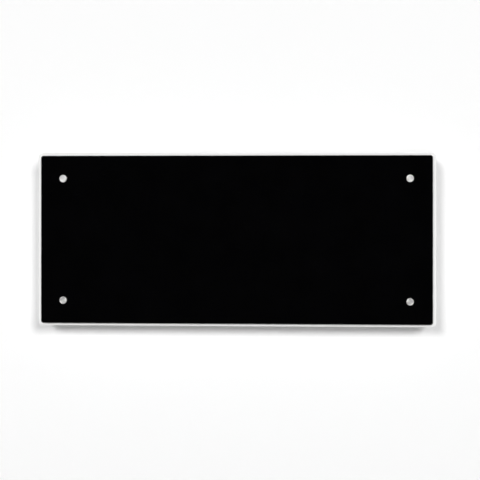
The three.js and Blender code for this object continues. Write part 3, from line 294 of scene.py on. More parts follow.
def softened(node, name, radius, shortest=0.0, angles=(40, 180), segments=3, above=-math.inf, add=None):
    """A finer copy of a packed node, its edges rounded where their faces turn by the given angles.

    An edge has to be long enough for that, and to lie above the given height.
    """
    bm = bmesh.new()
    bm.from_mesh(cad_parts[node].data)
    bmesh.ops.remove_doubles(bm, verts=bm.verts, dist=TINY)
    bmesh.ops.dissolve_limit(bm, angle_limit=math.radians(0.5), verts=bm.verts, edges=bm.edges)
    least, most = (math.radians(angle) for angle in angles)
    hard = [
        edge for edge in bm.edges
        if edge.is_manifold and edge.calc_length() >= shortest
        and least < edge.calc_face_angle() < most and min(vertex.co.z for vertex in edge.verts) > above
    ]
    bmesh.ops.bevel(
        bm, geom=hard, offset=radius, offset_type="OFFSET", segments=segments, profile=0.5,
        affect="EDGES", clamp_overlap=True,
    )
    if add:
        add(bm)
    made = object_from(bm, name, smooth_angle=40.0)
    weight_normals(made)
    return made


# ---------------------------- Finishes ----------------------------


def darker(colour, share):
    """The colour at a share of its brightness."""
    return tuple(channel * share for channel in colour)


class Nodes:
    """A node tree under construction, with short ways to add to it."""

    def __init__(self, tree):
        self.tree = tree

    def node(self, kind, **settings):
        """Adds a node and sets its properties."""
        made = self.tree.nodes.new(kind)
        for key, value in settings.items():
            setattr(made, key, value)
        return made

    def link(self, source, target):
        """Joins an output to an input."""
        self.tree.links.new(source, target)

    def calculated(self, operation, first, second):
        """The result of an operation on two values, each a number or an output."""
        node = self.node("ShaderNodeMath", operation=operation)
        for value, socket in zip((first, second), node.inputs):
            if isinstance(value, float):
                socket.default_value = value
            else:
                self.link(value, socket)
        return node.outputs["Value"]

    def remapped(self, source, low, high, start=0.3, end=0.7, **settings):
        """The source spread from low to high as it goes from start to end."""
        remap = self.node("ShaderNodeMapRange", **settings)
        ends = {"From Min": start, "From Max": end, "To Min": low, "To Max": high}
        for socket, value in ends.items():
            remap.inputs[socket].default_value = value
        self.link(source, remap.inputs["Value"])
        return remap.outputs["Result"]

    def show_mixed(self, output, factor, first, second):
        """Shows the first shader, and the second where the factor is 1."""
        mix = self.node("ShaderNodeMixShader")
        for source, socket in zip((factor, first, second), mix.inputs):
            self.link(source, socket)
        self.link(mix.outputs["Shader"], output.inputs["Surface"])


class Finish(Nodes):
    """A material under construction: its shader, and short ways to vary its colour, gloss and relief."""

    def __init__(self, name, colour, roughness, metallic=0.0):
        self.material = bpy.data.materials.new(name)
        self.material.use_nodes = True
        super().__init__(self.material.node_tree)
        self.shader = self.tree.nodes["Principled BSDF"]
        self.colour = colour
        self.place = self.node("ShaderNodeTexCoord").outputs["Object"]
        self.normal = None
        self.set("Base Color", (*colour, 1.0))
        self.set("Roughness", roughness)
        self.set("Metallic", metallic)

    def set(self, socket, value):
        """Sets a value that is the same all over the surface."""
        self.shader.inputs[socket].default_value = value

    def noise(self, scale, detail=3.0, roughness=0.55, stretch=(1.0, 1.0, 1.0)):
        """A noise over the object, in cells per metre, drawn out along an axis by a low stretch."""
        mapping = self.node("ShaderNodeMapping")
        mapping.inputs["Scale"].default_value = stretch
        self.link(self.place, mapping.inputs["Vector"])
        texture = self.node("ShaderNodeTexNoise")
        texture.inputs["Scale"].default_value = scale
        texture.inputs["Detail"].default_value = detail
        texture.inputs["Roughness"].default_value = roughness
        self.link(mapping.outputs["Vector"], texture.inputs["Vector"])
        return texture.outputs["Fac"]

    def tint(self, source, low, high, start=0.3, end=0.7):
        """Lets the base colour wander between two colours with the source."""
        mix = self.node("ShaderNodeMix", data_type="RGBA")
        factor, first, second = (mix.inputs[i] for i in COLOUR_MIX_INPUTS)
        first.default_value = (*low, 1.0)
        second.default_value = (*high, 1.0)
        self.link(self.remapped(source, 0.0, 1.0, start, end), factor)
        self.link(mix.outputs[COLOUR_MIX_RESULT], self.shader.inputs["Base Color"])

    def cloud(self, share, scale, detail):
        """Darkens the base colour to a share of itself in patches of noise."""
        self.tint(self.noise(scale, detail), darker(self.colour, share), self.colour)

    def roughen(self, source, low, high, start=0.3, end=0.7):
        """Lets the roughness wander with the source."""
        self.link(self.remapped(source, low, high, start, end), self.shader.inputs["Roughness"])

    def soften_edges(self, radius):
        """Rounds the shading of sharp edges."""
        bevel = self.node("ShaderNodeBevel", samples=6)
        bevel.inputs["Radius"].default_value = radius
        self.normal = bevel.outputs["Normal"]
        self.link(self.normal, self.shader.inputs["Normal"])

    def raise_by(self, source, height):
        """Adds a relief of the given height in metres."""
        bump = self.node("ShaderNodeBump")
        bump.inputs["Strength"].default_value = 1.0
        bump.inputs["Distance"].default_value = height
        self.link(source, bump.inputs["Height"])
        if self.normal:
            self.link(self.normal, bump.inputs["Normal"])
        self.normal = bump.outputs["Normal"]
        self.link(self.normal, self.shader.inputs["Normal"])


def powder_coat(name, colour):
    """White powder coat on sheet steel: a fine orange peel with faint handling marks."""
    finish = Finish(name, colour, 0.42)
    finish.cloud(0.965, 9.0, 4.0)
    finish.roughen(finish.noise(38.0, 4.0), 0.36, 0.5)
    finish.soften_edges(0.4 * MM)
    finish.raise_by(finish.noise(1100.0, 2.0), 0.035 * MM)
    finish.raise_by(finish.noise(4200.0, 1.0), 0.008 * MM)
    return finish.material


def black_glass(name, colour, haze):
    """Float glass printed black behind: a mirror-smooth face with a trace of wiped-off dust."""
    finish = Finish(name, colour, haze)
    smears = finish.noise(6.0, 6.0, 0.65, (1.0, 1.0, 2.6))
    finish.roughen(smears, haze, haze * 2.4, 0.42, 0.75)
    finish.cloud(0.6, 14.0, 5.0)
    finish.raise_by(finish.noise(2.2, 1.0), 0.02 * MM)
    return finish.material


def turned_metal(name, colour, axis):
    """Satin metal faced on a lathe: fine rings round the axis that stretch each highlight across them."""
    finish = Finish(name, colour, 0.3, 1.0)
    finish.set("Anisotropic", 0.75)
    tangent = finish.node("ShaderNodeTangent", direction_type="RADIAL", axis=axis)
    finish.link(tangent.outputs["Tangent"], finish.shader.inputs["Tangent"])
    split = finish.node("ShaderNodeSeparateXYZ")
    finish.link(finish.place, split.inputs["Vector"])
    across = finish.node("ShaderNodeCombineXYZ")
    for channel in "XYZ".replace(axis, ""):
        finish.link(split.outputs[channel], across.inputs[channel])
    radius = finish.node("ShaderNodeVectorMath", operation="LENGTH")
    finish.link(across.outputs["Vector"], radius.inputs[0])
    rings = finish.node("ShaderNodeTexNoise", noise_dimensions="1D")
    rings.inputs["Scale"].default_value = 5200.0
    rings.inputs["Detail"].default_value = 2.0
    finish.link(radius.outputs["Value"], rings.inputs["W"])
    finish.roughen(rings.outputs["Fac"], 0.32, 0.46)
    finish.tint(rings.outputs["Fac"], darker(colour, 0.9), colour)
    finish.raise_by(rings.outputs["Fac"], 0.004 * MM)
    return finish.material


def plated_steel(name, colour, roughness=0.38):
    """Bright zinc plate or drawn wire: slight clouding over a fine grain."""
    finish = Finish(name, colour, roughness, 1.0)
    finish.cloud(0.82, 180.0, 4.0)
    finish.roughen(finish.noise(420.0, 3.0), roughness * 0.75, roughness * 1.3)
    finish.soften_edges(0.2 * MM)
    finish.raise_by(finish.noise(2600.0, 2.0), 0.01 * MM)
    return finish.material


def rolled_sheet(name, colour, drawn_out):
    """Mill-finished sheet or foil, its rolling lines drawn out along X."""
    finish = Finish(name, colour, 0.36, 1.0)
    lines = finish.noise(900.0, 3.0, 0.5, (drawn_out, 1.0, 1.0))
    finish.cloud(0.86, 30.0, 4.0)
    finish.roughen(lines, 0.28, 0.46)
    finish.raise_by(lines, 0.012 * MM)
    return finish.material


def moulded_plastic(name, colour, roughness, grain=0.02):
    """Injection-moulded plastic with a fine spark-eroded grain, its height in millimetres."""
    finish = Finish(name, colour, roughness)
    finish.cloud(0.9, 60.0, 3.0)
    finish.roughen(finish.noise(240.0, 3.0), roughness * 0.85, roughness * 1.15)
    finish.soften_edges(0.3 * MM)
    finish.raise_by(finish.noise(2400.0, 2.0), grain * MM)
    return finish.material


def soft_silicone(name, colour):
    """Cast silicone: dull, slightly waxy, with faint mould bloom."""
    finish = Finish(name, colour, 0.62)
    finish.set("Subsurface Weight", 0.1)
    finish.set("Subsurface Radius", (2 * MM, 2 * MM, 2 * MM))
    finish.cloud(0.93, 300.0, 3.0)
    finish.raise_by(finish.noise(1500.0, 2.0), 0.01 * MM)
    return finish.material


def smoked_lens(name, colour):
    """A polished dark window."""
    finish = Finish(name, colour, 0.06)
    finish.roughen(finish.noise(120.0, 4.0), 0.04, 0.12)
    finish.soften_edges(0.25 * MM)
    return finish.material


def solder_mask(name, colour):
    """A circuit board: green lacquer over a weave, with copper lines that show through it."""
    finish = Finish(name, colour, 0.3)
    tracks = finish.node("ShaderNodeTexBrick")
    tracks.inputs["Scale"].default_value = 260.0
    tracks.inputs["Mortar Size"].default_value = 0.06
    finish.link(finish.place, tracks.inputs["Vector"])
    copper = tuple(channel * 2.1 + 0.02 for channel in colour)
    finish.tint(tracks.outputs["Fac"], colour, copper, 0.0, 1.0)
    finish.roughen(finish.noise(700.0, 2.0), 0.24, 0.42)
    finish.raise_by(tracks.outputs["Fac"], 0.02 * MM)
    return finish.material


def fibre_mat(name, colour):
    """Needled mineral fibre: matt, uneven and downy."""
    finish = Finish(name, colour, 0.95)
    finish.set("Sheen Weight", 0.3)
    fibres = finish.noise(260.0, 8.0, 0.75, (1.0, 1.0, 0.45))
    shade = (colour[0] * 0.8, colour[1] * 0.78, colour[2] * 0.72)
    finish.tint(fibres, shade, colour)
    finish.raise_by(fibres, 0.5 * MM)
    return finish.material


def mica_sheet(name, colour):
    """Pressed mica: pearly flakes in a tan binder."""
    finish = Finish(name, colour, 0.5)
    texture = finish.node("ShaderNodeTexVoronoi", feature="F1")
    texture.inputs["Scale"].default_value = 420.0
    finish.link(finish.place, texture.inputs["Vector"])
    flakes = texture.outputs["Distance"]
    pale = tuple(channel * 1.35 for channel in colour)
    finish.tint(flakes, pale, colour, 0.1, 0.8)
    finish.roughen(flakes, 0.3, 0.6, 0.0, 0.8)
    finish.raise_by(flakes, 0.03 * MM)
    return finish.material


def put_on(node, material):
    """Gives a packed node its finish."""
    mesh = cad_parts[node].data
    mesh.materials.clear()
    mesh.materials.append(material)


def put_on_piece(piece, material, body, slot, *nodes):
    """Gives a new piece its finish and its body, and hides the nodes that it stands for; its slot is not
    used.
    """
    piece.data.materials.clear()
    piece.data.materials.append(material)
    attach(piece, body)
    if nodes:
        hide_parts(*nodes)


# ---------------------------- Sizes and colours that a user would change ----------------------------


def number(name, description, default, **more):
    """A plain number property."""
    return FloatProperty(name=name, description=description, default=default, **more)


def length(name, description, millimetres):
    """A length property, its default given in millimetres."""
    return number(name, description, millimetres * MM, unit="LENGTH", precision=5)


def colour(name, description, default):
    """A colour property."""
    return FloatVectorProperty(
        name=name, description=description, default=default, subtype="COLOR", size=3, min=0.0, max=1.0
    )


class GlassSettings(PropertyGroup):
    """The glass front."""

    corner: length("Corner radius", "Radius of the glass's corners", 5.0)
    arris: length("Arris", "Width of the ground edge", 0.8)
    hole: length("Stud hole", "Diameter of the hole under each stud", 8.0)
    shade: colour("Print", "Colour of the print behind the glass", (0.0012, 0.0012, 0.0014))
    haze: number("Haze", "Roughness of the polished face", 0.035, subtype="FACTOR")


class StudSettings(PropertyGroup):
    """The four studs through the glass."""

    chamfer: length("Chamfer", "Width of the turned edge", 0.5)
    dish: length("Dish", "Depth of the hollow in the face", 0.16)
    shank: length("Shank", "Diameter of the threaded shank", 5.0)
    heel: length("Heel", "Small chamfer at the back of the cap and the end of the shank", 0.25)
    seat: length("Seat", "Gap between the cap and its gasket", 0.3)
    shade: colour("Metal", "Colour of the satin metal", (0.61, 0.605, 0.595))
    sides: IntProperty(name="Sides", description="Facets round a stud", default=96, min=24)


class CasingSettings(PropertyGroup):
    """The folded casing and the pressed rear cover."""

    sheet: length("Sheet", "Thickness of the steel", 1.0)
    bend: length("Bend", "Outer radius of the folds", 3.0)
    corner: length("Corner radius", "Radius of the casing's outline", 10.0)
    flange: length("Flange", "Width of the front flange round the window", 70.0)
    window_corner: length("Window corner", "Corner radius of the window behind the glass", 12.0)
    lip: length("Lip", "Width of the rear lip under the cover", 13.0)
    lip_corner: length("Lip corner", "Inner corner radius of the rear lip", 5.0)
    stud_hole: length("Stud hole", "Diameter of the holes for the studs", 6.4)
    screw_hole: length("Screw hole", "Diameter of the holes for the cover screws", 3.8)
    screw_shank: length("Screw shank", "Diameter of a cover screw", 3.2)
    screw_head: length("Screw head", "Height of a cover screw's head", 2.0)
    screw_recess: length("Screw recess", "Depth of the cross in a cover screw's head", 0.9)
    vent_length: length("Air slot length", "Length of the slots in the top and bottom walls", 34.0)
    vent_width: length("Air slot width", "Width of the slots in the top and bottom walls", 5.0)
    vent_pitch: length("Air slot pitch", "From one slot to the next", 48.0)
    vent_depth: length("Air slot depth", "From the wall to the middle of the slots", 48.0)
    vent_left: length("Air slot margin left", "From the casing's left side to the first slot", 80.0)
    vent_right: length("Air slot margin right", "From the last slot to the controls", 76.0)
    seat: length("Seat", "Gap round what sits in the casing's cut-outs", 0.3)
    bezel_flange: length("Bezel flange", "How far the bezel's flange reaches under the sheet", 3.0)
    bezel_corner: length("Bezel corner", "Corner radius of the cut-out for the bezel", 4.3)
    sensor_hole: length("Sensor hole", "Diameter of the hole for the room sensor", 9.6)
    switch_rim: length("Switch rim", "How far the switch's rim reaches under the sheet", 1.5)
    paint: colour("Paint", "Colour of the powder coat", (0.83, 0.83, 0.825))


class SpringSettings(PropertyGroup):
    """The two latch springs."""

    wire: length("Wire", "Diameter of the wire", 1.1)
    turns: number("Turns", "Number of coils", 7.0, min=2.0)
    pressed: number("Pressed", "Share of its length that a pressed spring keeps", 25 / 32, subtype="FACTOR")
    steel: colour("Steel", "Colour of the drawn wire", (0.45, 0.46, 0.48))


class ControlSettings(PropertyGroup):
    """The controls in the top wall."""

    keycap_diameter: length("Keycap", "Diameter of a button", 8.0)
    keycap_height: length("Keycap height", "From a button's collar to its top", 3.3)
    keycap_edge: length("Keycap edge", "Radius of a button's edge and depth of its hollow", 0.4)
    stem_diameter: length("Stem", "Diameter of a button's stem", 3.0)
    bezel: colour("Bezel", "Colour of the bezel", (0.018, 0.018, 0.02))
    keycap: colour("Keycaps", "Colour of the buttons", (0.8, 0.8, 0.78))


class StageSettings(PropertyGroup):
    """The wall, floor, lamps and camera."""

    distance: length("Distance", "From the camera to the middle of the glass's face", 2191.0)
    yaw: number("Yaw", "How far the camera stands to the right", math.radians(2.66), subtype="ANGLE")
    rise: length("Rise", "Height of the camera above the middle of the glass", 93.8)
    frame_width: length("Frame width", "Width that the picture takes in at the glass", 1019.9)
    slide: length("Slide", "How far the picture's middle lies to the right of the lens", 9.92)
    drop: length("Drop", "How far the picture's middle lies below the lens", 94.4)
    floor_drop: length("Floor", "Height of the heater's middle above the floor", 1100.0)
    floor_reach: length("Floor reach", "How far the floor comes out from the wall", 3000.0)
    wall_top: length("Wall top", "Height of the wall above the heater's middle", 3000.0)
    wall_reach: length("Wall reach", "How far wall and floor go to either side", 4000.0)
    key: number("Keys", "Light on the glass from the high left lamp", 0.412)
    key_balance: number("Key balance", "The high right lamp's light against the left one's", 1.06)
    low_key: number("Low key", "Light on the glass from the low lamp", 0.148)
    rim: number("Rim", "Light from below that only the heater gets", 0.085)
    glint: number("Glints", "Light that only the studs mirror, from the left", 0.3)
    glint_balance: number("Glint balance", "The right glint's light against the left one's", 1.15)
    side: number("Sides", "Power of each side lamp, in watts", 3.0)
    top: number("Top", "Power of the lamp overhead, in watts", 3.0)
    rear: number("Rear", "Power of the lamp behind the wall, in watts", 6.0)
    fill: number("Fill", "Strength of the room's light", 0.02)
    floor_bounce: number("Floor bounce", "Share of the floor's light passed on", 0.5)
    wall_shade: colour("Wall", "Colour of the wall and floor", (0.91, 0.91, 0.91))


# ---------------------------- Stage ----------------------------


def pale_backdrop(name, shade, passed_on=1.0):
    """A pale wall or floor that keeps shadows; seen or lit from behind it lets all light through.

    Only the given share of its brightness reaches the object as bounced light.
    """
    finish = Finish(name, shade, 0.95)
    finish.set("Specular IOR Level", 0.0)
    bounced = finish.node("ShaderNodeLightPath").outputs["Is Diffuse Ray"]
    finish.tint(bounced, shade, darker(shade, passed_on), 0.0, 1.0)
    behind = finish.node("ShaderNodeNewGeometry").outputs["Backfacing"]
    clear = finish.node("ShaderNodeBsdfTransparent").outputs["BSDF"]
    finish.show_mixed(finish.tree.nodes["Material Output"], behind, finish.shader.outputs["BSDF"], clear)
    return finish.material


def flat_sheet(name, reach, near, far, material):
    """A flat sheet of the stage between two edges, given by their (y, z), that reaches as far both ways."""
    corners = [(-reach, *near), (reach, *near), (reach, *far), (-reach, *far)]
    mesh = bpy.data.meshes.new(name)
    mesh.from_pydata(corners, [], [(0, 1, 2, 3)])
    mesh.materials.append(material)
    made = linked(name, mesh)
    return made


def soft_lamp(name, place, aim, power):
    """A soft rectangular lamp turned to face a point."""
    lamp = bpy.data.lights.new(name, "AREA")
    lamp.shape = "RECTANGLE"
    lamp.size, lamp.size_y = 0.9, 1.4
    lamp.energy = power
    made = linked(name, lamp)
    made.location = place
    made.rotation_euler = (aim - Vector(place)).to_track_quat("-Z", "Y").to_euler()
    return made


def far_lamp(name, level, across, up, spread, mirrored=False):
    """A soft lamp far in front, its place given by how far it is across and up for each metre out."""
    lamp = bpy.data.lights.new(name, "SUN")
    towards = Vector((across, -1.0, up))
    lamp.energy = level * math.pi * towards.length
    lamp.angle = math.radians(spread)
    made = linked(name, lamp)
    made.rotation_euler = (-towards).to_track_quat("-Z", "Y").to_euler()
    made.visible_glossy = mirrored
    return made


def keep_off(lamp, sheets):
    """Lets a lamp light everything but the given sheets of the stage, and shine through them."""
    spared = bpy.data.collections.new("not lit by the " + lamp.name)
    for sheet in sheets:
        spared.objects.link(sheet)
    lamp.light_linking.receiver_collection = spared
    lamp.light_linking.blocker_collection = spared
    for entry in spared.collection_objects:
        entry.light_linking.link_state = "EXCLUDE"


def studio_world(fill):
    """White to the eye and in reflections, but for a dark flag before the glass; faint as a light."""
    world = bpy.data.worlds.new("studio")
    world.use_nodes = True
    nodes = Nodes(world.node_tree)
    nodes.tree.nodes.clear()
    ahead = nodes.node("ShaderNodeVectorMath", operation="DOT_PRODUCT")
    ahead.inputs[1].default_value = (0.0, -1.0, 0.0)
    nodes.link(nodes.node("ShaderNodeTexCoord").outputs["Generated"], ahead.inputs[0])
    flag_edge, flag_middle = 0.55, 0.9
    flag = nodes.remapped(
        ahead.outputs["Value"], 1.0, 0.0, flag_edge, flag_middle, interpolation_type="SMOOTHSTEP"
    )
    ray = nodes.node("ShaderNodeLightPath").outputs
    not_mirrored = nodes.calculated("SUBTRACT", 1.0, ray["Is Glossy Ray"])
    seen = nodes.node("ShaderNodeBackground")
    nodes.link(nodes.calculated("MAXIMUM", flag, not_mirrored), seen.inputs["Color"])
    room = nodes.node("ShaderNodeBackground")
    room.inputs["Strength"].default_value = fill
    plain = nodes.calculated("MAXIMUM", ray["Is Camera Ray"], ray["Is Transmission Ray"])
    shows = nodes.calculated("MAXIMUM", ray["Is Glossy Ray"], plain)
    output = nodes.node("ShaderNodeOutputWorld")
    nodes.show_mixed(output, shows, room.outputs["Background"], seen.outputs["Background"])
    bpy.context.scene.world = world


class HEATER_OT_stage(Operator):
    """Set up the wall, floor, lamps and camera"""

    bl_idname = "panel_heater.stage"
    bl_label = "Stage"

    def execute(self, context):
        stage = context.scene.panel_heater_stage
        glass = middle_of("glass_front")
        sheets = self.backdrop(stage)
        far_lamp("high left lamp", stage.key, -0.4, 0.36, 16.0)
        far_lamp("high right lamp", stage.key * stage.key_balance, 0.42, 0.36, 16.0)
        far_lamp("low lamp", stage.low_key, 0.0, -0.2, 18.0)
        keep_off(far_lamp("rim lamp", stage.rim, 0.0, -0.6, 18.0), sheets)
        for name, place, power in (
            ("left lamp", (-2.4, -0.3, 0.1), stage.side),
            ("right lamp", (2.4, -0.3, 0.1), stage.side),
            ("top lamp", (0.0, -0.3, 2.2), stage.top),
            ("rear lamp", (-0.7, 2.4, 0.9), stage.rear),
        ):
            keep_off(soft_lamp(name, place, glass, power), sheets)
        studio_world(stage.fill)
        self.camera(stage, glass)
        context.scene.view_settings.view_transform = "Standard"
        return {"FINISHED"}

    def backdrop(self, stage):
        """A wall just behind the heater, and a floor that meets it."""
        shade = tuple(stage.wall_shade)
        behind, floor = 1.0 * MM, -stage.floor_drop
        foot, head, front = (behind, floor), (behind, stage.wall_top), (-stage.floor_reach, floor)
        paper = pale_backdrop("pale wall", shade)
        ground = pale_backdrop("pale floor", shade, stage.floor_bounce)
        return (
            flat_sheet("wall", stage.wall_reach, foot, head, paper),
            flat_sheet("floor", stage.wall_reach, front, foot, ground),
        )

    def camera(self, stage, glass):
        """A level camera, turned to face the wall at a slant, its picture shifted to the glass."""
        camera = bpy.data.cameras.new("camera")
        camera.sensor_width = 36.0
        camera.lens = camera.sensor_width * stage.distance / stage.frame_width
        camera.shift_x = stage.slide / stage.frame_width
        camera.shift_y = -stage.drop / stage.frame_width
        made = linked("camera", camera)
        x = glass.x + stage.distance * math.sin(stage.yaw)
        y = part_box("glass_front")[0].y - stage.distance * math.cos(stage.yaw)
        made.location = (x, y, glass.z + stage.rise)
        made.rotation_euler = (math.pi / 2, 0.0, stage.yaw)
        bpy.context.scene.camera = made


# ---------------------------- Glass front and studs ----------------------------


class HEATER_OT_glass(Operator):
    """Make the glass front with its ground edge and four holes"""

    bl_idname = "panel_heater.glass"
    bl_label = "Glass front"

    def execute(self, context):
        glass = context.scene.panel_heater_glass
        low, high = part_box("glass_front")
        size = high - low
        arris = glass.arris
        edge = bend_points((arris, low.y + arris), arris, 270, 180, steps=6)
        edge += bend_points((arris, high.y - arris), arris, 180, 90, steps=6)
        profile = []
        for inset, y in edge:
            corner = glass.corner - inset / 2
            outline = rounded_outline(size.x - 2 * inset, size.z - 2 * inset, corner, steps=12)
            profile.append([(x, y, z) for x, z in outline])
        bm = bmesh.new()
        rings = sweep(bm, profile, loop=False)
        fronts, backs = [rings[0]], [rings[-1]]
        for x, z in stud_places().values():
            hole = shifted(circle_outline(glass.hole / 2, steps=40), x, z)
            front, back = sweep(bm, [[(a, y, b) for a, b in hole] for y in (low.y, high.y)], loop=False)
            fronts.append(front)
            backs.append(back)
        fill_between(bm, fronts)
        fill_between(bm, backs)
        panel = object_from(bm, "glass_panel", smooth_angle=40.0)
        weight_normals(panel)
        finish = black_glass("printed glass", tuple(glass.shade), glass.haze)
        put_on_piece(panel, finish, "heater", "black_glass", "glass_front")
        return {"FINISHED"}


class HEATER_OT_studs(Operator):
    """Make the four turned studs, and dress their gaskets, spacers and nuts"""

    bl_idname = "panel_heater.studs"
    bl_label = "Studs"

    def execute(self, context):
        studs = context.scene.panel_heater_studs
        stage = context.scene.panel_heater_stage
        metal = turned_metal("satin studs", tuple(studs.shade), "Y")
        silicone = soft_silicone("silicone washers", (0.75, 0.75, 0.72))
        zinc = plated_steel("zinc nuts", ZINC)
        caps = bpy.data.collections.new("stud caps")
        for corner, (x, z) in stud_places().items():
            section = self.section(studs, corner)
            stud = turned("stud_cap_" + corner, section, studs.sides, (x, 0.0, z), smooth_angle=30.0)
            put_on_piece(stud, metal, "heater", "satin_steel", "stud_" + corner)
            put_on("stud_gasket_" + corner, silicone)
            put_on("glass_spacer_" + corner, silicone)
            put_on("stud_nut_" + corner, zinc)
            caps.objects.link(stud)
        left, right = stage.glint, stage.glint * stage.glint_balance
        for name, level, across in (("left glint", left, -0.42), ("right glint", right, 0.42)):
            glint = far_lamp(name, level, across, 0.27, 20.0, mirrored=True)
            glint.light_linking.receiver_collection = caps
        return {"FINISHED"}

    def section(self, studs, corner):
        """A stud's section: the dished face, the turned edge, the heel of the cap and the shank."""
        low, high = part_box("stud_" + corner)
        front, end = low.y, high.y
        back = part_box("stud_gasket_" + corner)[0].y - studs.seat
        radius = (high.x - low.x) / 2
        chamfer, heel = studs.chamfer, studs.heel
        dish = hollow(radius - 2 * chamfer, front, studs.dish)
        rim = bend_points((radius - chamfer, front + chamfer), chamfer, 270, 360, steps=6)
        rim += bend_points((radius - heel, back - heel), heel, 0, 90, steps=3)
        return dish + rim + shank_section(studs.shank / 2, back, end, heel, heel)


# ---------------------------- Casing and rear cover ----------------------------


def casing_profile(casing, low, high):
    """The folded sheet's section, from the window's edge round the outside and back inside: (inset, y)."""
    bend, sheet = casing.bend, casing.sheet
    front, back = low.y, high.y
    front_bend, back_bend = (bend, front + bend), (bend, back - bend)
    outside = [(casing.flange, front)]
    outside += bend_points(front_bend, bend, 270, 180, steps=8)
    outside += bend_points(back_bend, bend, 180, 90, steps=8)
    outside += [(casing.lip, back)]
    inside = [(casing.lip, back - sheet)]
    inside += bend_points(back_bend, bend - sheet, 90, 180, steps=8)
    inside += bend_points(front_bend, bend - sheet, 180, 270, steps=8)
    inside += [(casing.flange, front + sheet)]
    return outside + inside


def ring_corner(casing, inset):
    """The corner radius of the folded sheet at an inset from its outline."""
    if inset == casing.flange:
        return casing.window_corner
    if inset == casing.lip:
        return casing.lip_corner
    return max(casing.corner - inset, casing.sheet / 2)


def casing_cutter(casing, low, high):
    """Everything that is punched out of the casing, in one body."""
    bm = bmesh.new()

    def punch(outline, across, up, axis, wall):
        """Adds an opening through the wall that stands across the axis."""
        add_prism(bm, shifted(outline, across, up), axis, wall - casing.bend, wall + casing.bend)

    for x, z in stud_places().values():
        punch(circle_outline(casing.stud_hole / 2, steps=32), x, z, "Y", low.y)
    for screw in map(middle_of, COVER_SCREWS):
        punch(circle_outline(casing.screw_hole / 2, steps=24), screw.x, screw.z, "Y", high.y)

    left = low.x + casing.vent_left
    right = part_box("control_bezel")[0].x + casing.bezel_flange - casing.vent_right
    count = int((right - left - casing.vent_length) / casing.vent_pitch) + 1
    vent = slot_outline(casing.vent_length, casing.vent_width)
    for i in range(count):
        x = (left + right) / 2 + (i - (count - 1) / 2) * casing.vent_pitch
        for wall in (low.z, high.z):
            punch(vent, x, -casing.vent_depth, "Z", wall)

    bezel, bezel_size = middle_of("control_bezel"), span_of("control_bezel")
    covered = 2 * casing.bezel_flange - 2 * casing.seat
    well = rounded_outline(bezel_size.x - covered, bezel_size.y - covered, casing.bezel_corner, steps=8)
    punch(well, bezel.x, bezel.y, "Z", high.z)
    sensor = middle_of("sensor_holder")
    punch(circle_outline(casing.sensor_hole / 2, steps=32), sensor.x, sensor.y, "Z", low.z)
    switch, switch_size = middle_of("switch_housing"), span_of("switch_housing")
    covered = 2 * casing.switch_rim - 2 * casing.seat
    window = rounded_outline(switch_size.y - covered, switch_size.z - covered, TINY, steps=1)
    punch(window, switch.y, switch.z, "X", high.x)
    return object_from(bm, "casing cutter")


class HEATER_OT_casing(Operator):
    """Fold the casing and press the rear cover out of sheet steel, and drive the cover's screws"""

    bl_idname = "panel_heater.casing"
    bl_label = "Casing and cover"

    def execute(self, context):
        casing = context.scene.panel_heater_casing
        low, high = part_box("casing")
        size = high - low
        profile = []
        for inset, y in casing_profile(casing, low, high):
            corner = ring_corner(casing, inset)
            outline = rounded_outline(size.x - 2 * inset, size.z - 2 * inset, corner, steps=10)
            profile.append([(x, y, z) for x, z in outline])
        bm = bmesh.new()
        sweep(bm, profile, loop=True)
        shell = object_from(bm, "casing_shell")
        cut_away(shell, casing_cutter(casing, low, high))
        weight_normals(shell)
        paint = powder_coat("white powder coat", tuple(casing.paint))
        put_on_piece(shell, paint, "heater", "white_paint", "casing")
        pressed = softened("rear_cover", "pressed_cover", radius=1.4 * MM, angles=(25, 60), segments=4)
        put_on_piece(pressed, paint, "heater", "white_paint", "rear_cover")
        self.screws(casing)
        return {"FINISHED"}

    def screws(self, casing):
        """Pan-head screws with a cross recess, driven from behind."""
        zinc = plated_steel("zinc screws", ZINC, 0.3)
        dome_height, flatness = casing.screw_head * 0.55, 2.4
        taper, narrowing = 0.6 * MM, 0.5 * MM
        for node in COVER_SCREWS:
            low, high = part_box(node)
            middle = (low + high) / 2
            place = (middle.x, 0.0, middle.z)
            head, seat = (high.x - low.x) / 2, high.y - casing.screw_head
            dome = [(head * t, high.y - dome_height * t**flatness) for t in fractions(6)]
            shank = shank_section(casing.screw_shank / 2, seat, low.y, -taper, narrowing)
            screw = turned(node.replace("cover", "pan"), [*dome, (head, seat), *shank], 32, place)
            bm = bmesh.new()
            arm, slim = head * 0.6, head * 0.14
            for across, up in ((arm, slim), (slim, arm)):
                add_prism(bm, bar_outline(across, up), "Y", high.y - casing.screw_recess, high.y + MM)
            cut_away(screw, object_from(bm, "recess", place))
            put_on_piece(screw, zinc, "heater", "zinc_steel", node)


# ---------------------------- Bracket, latches and springs ----------------------------


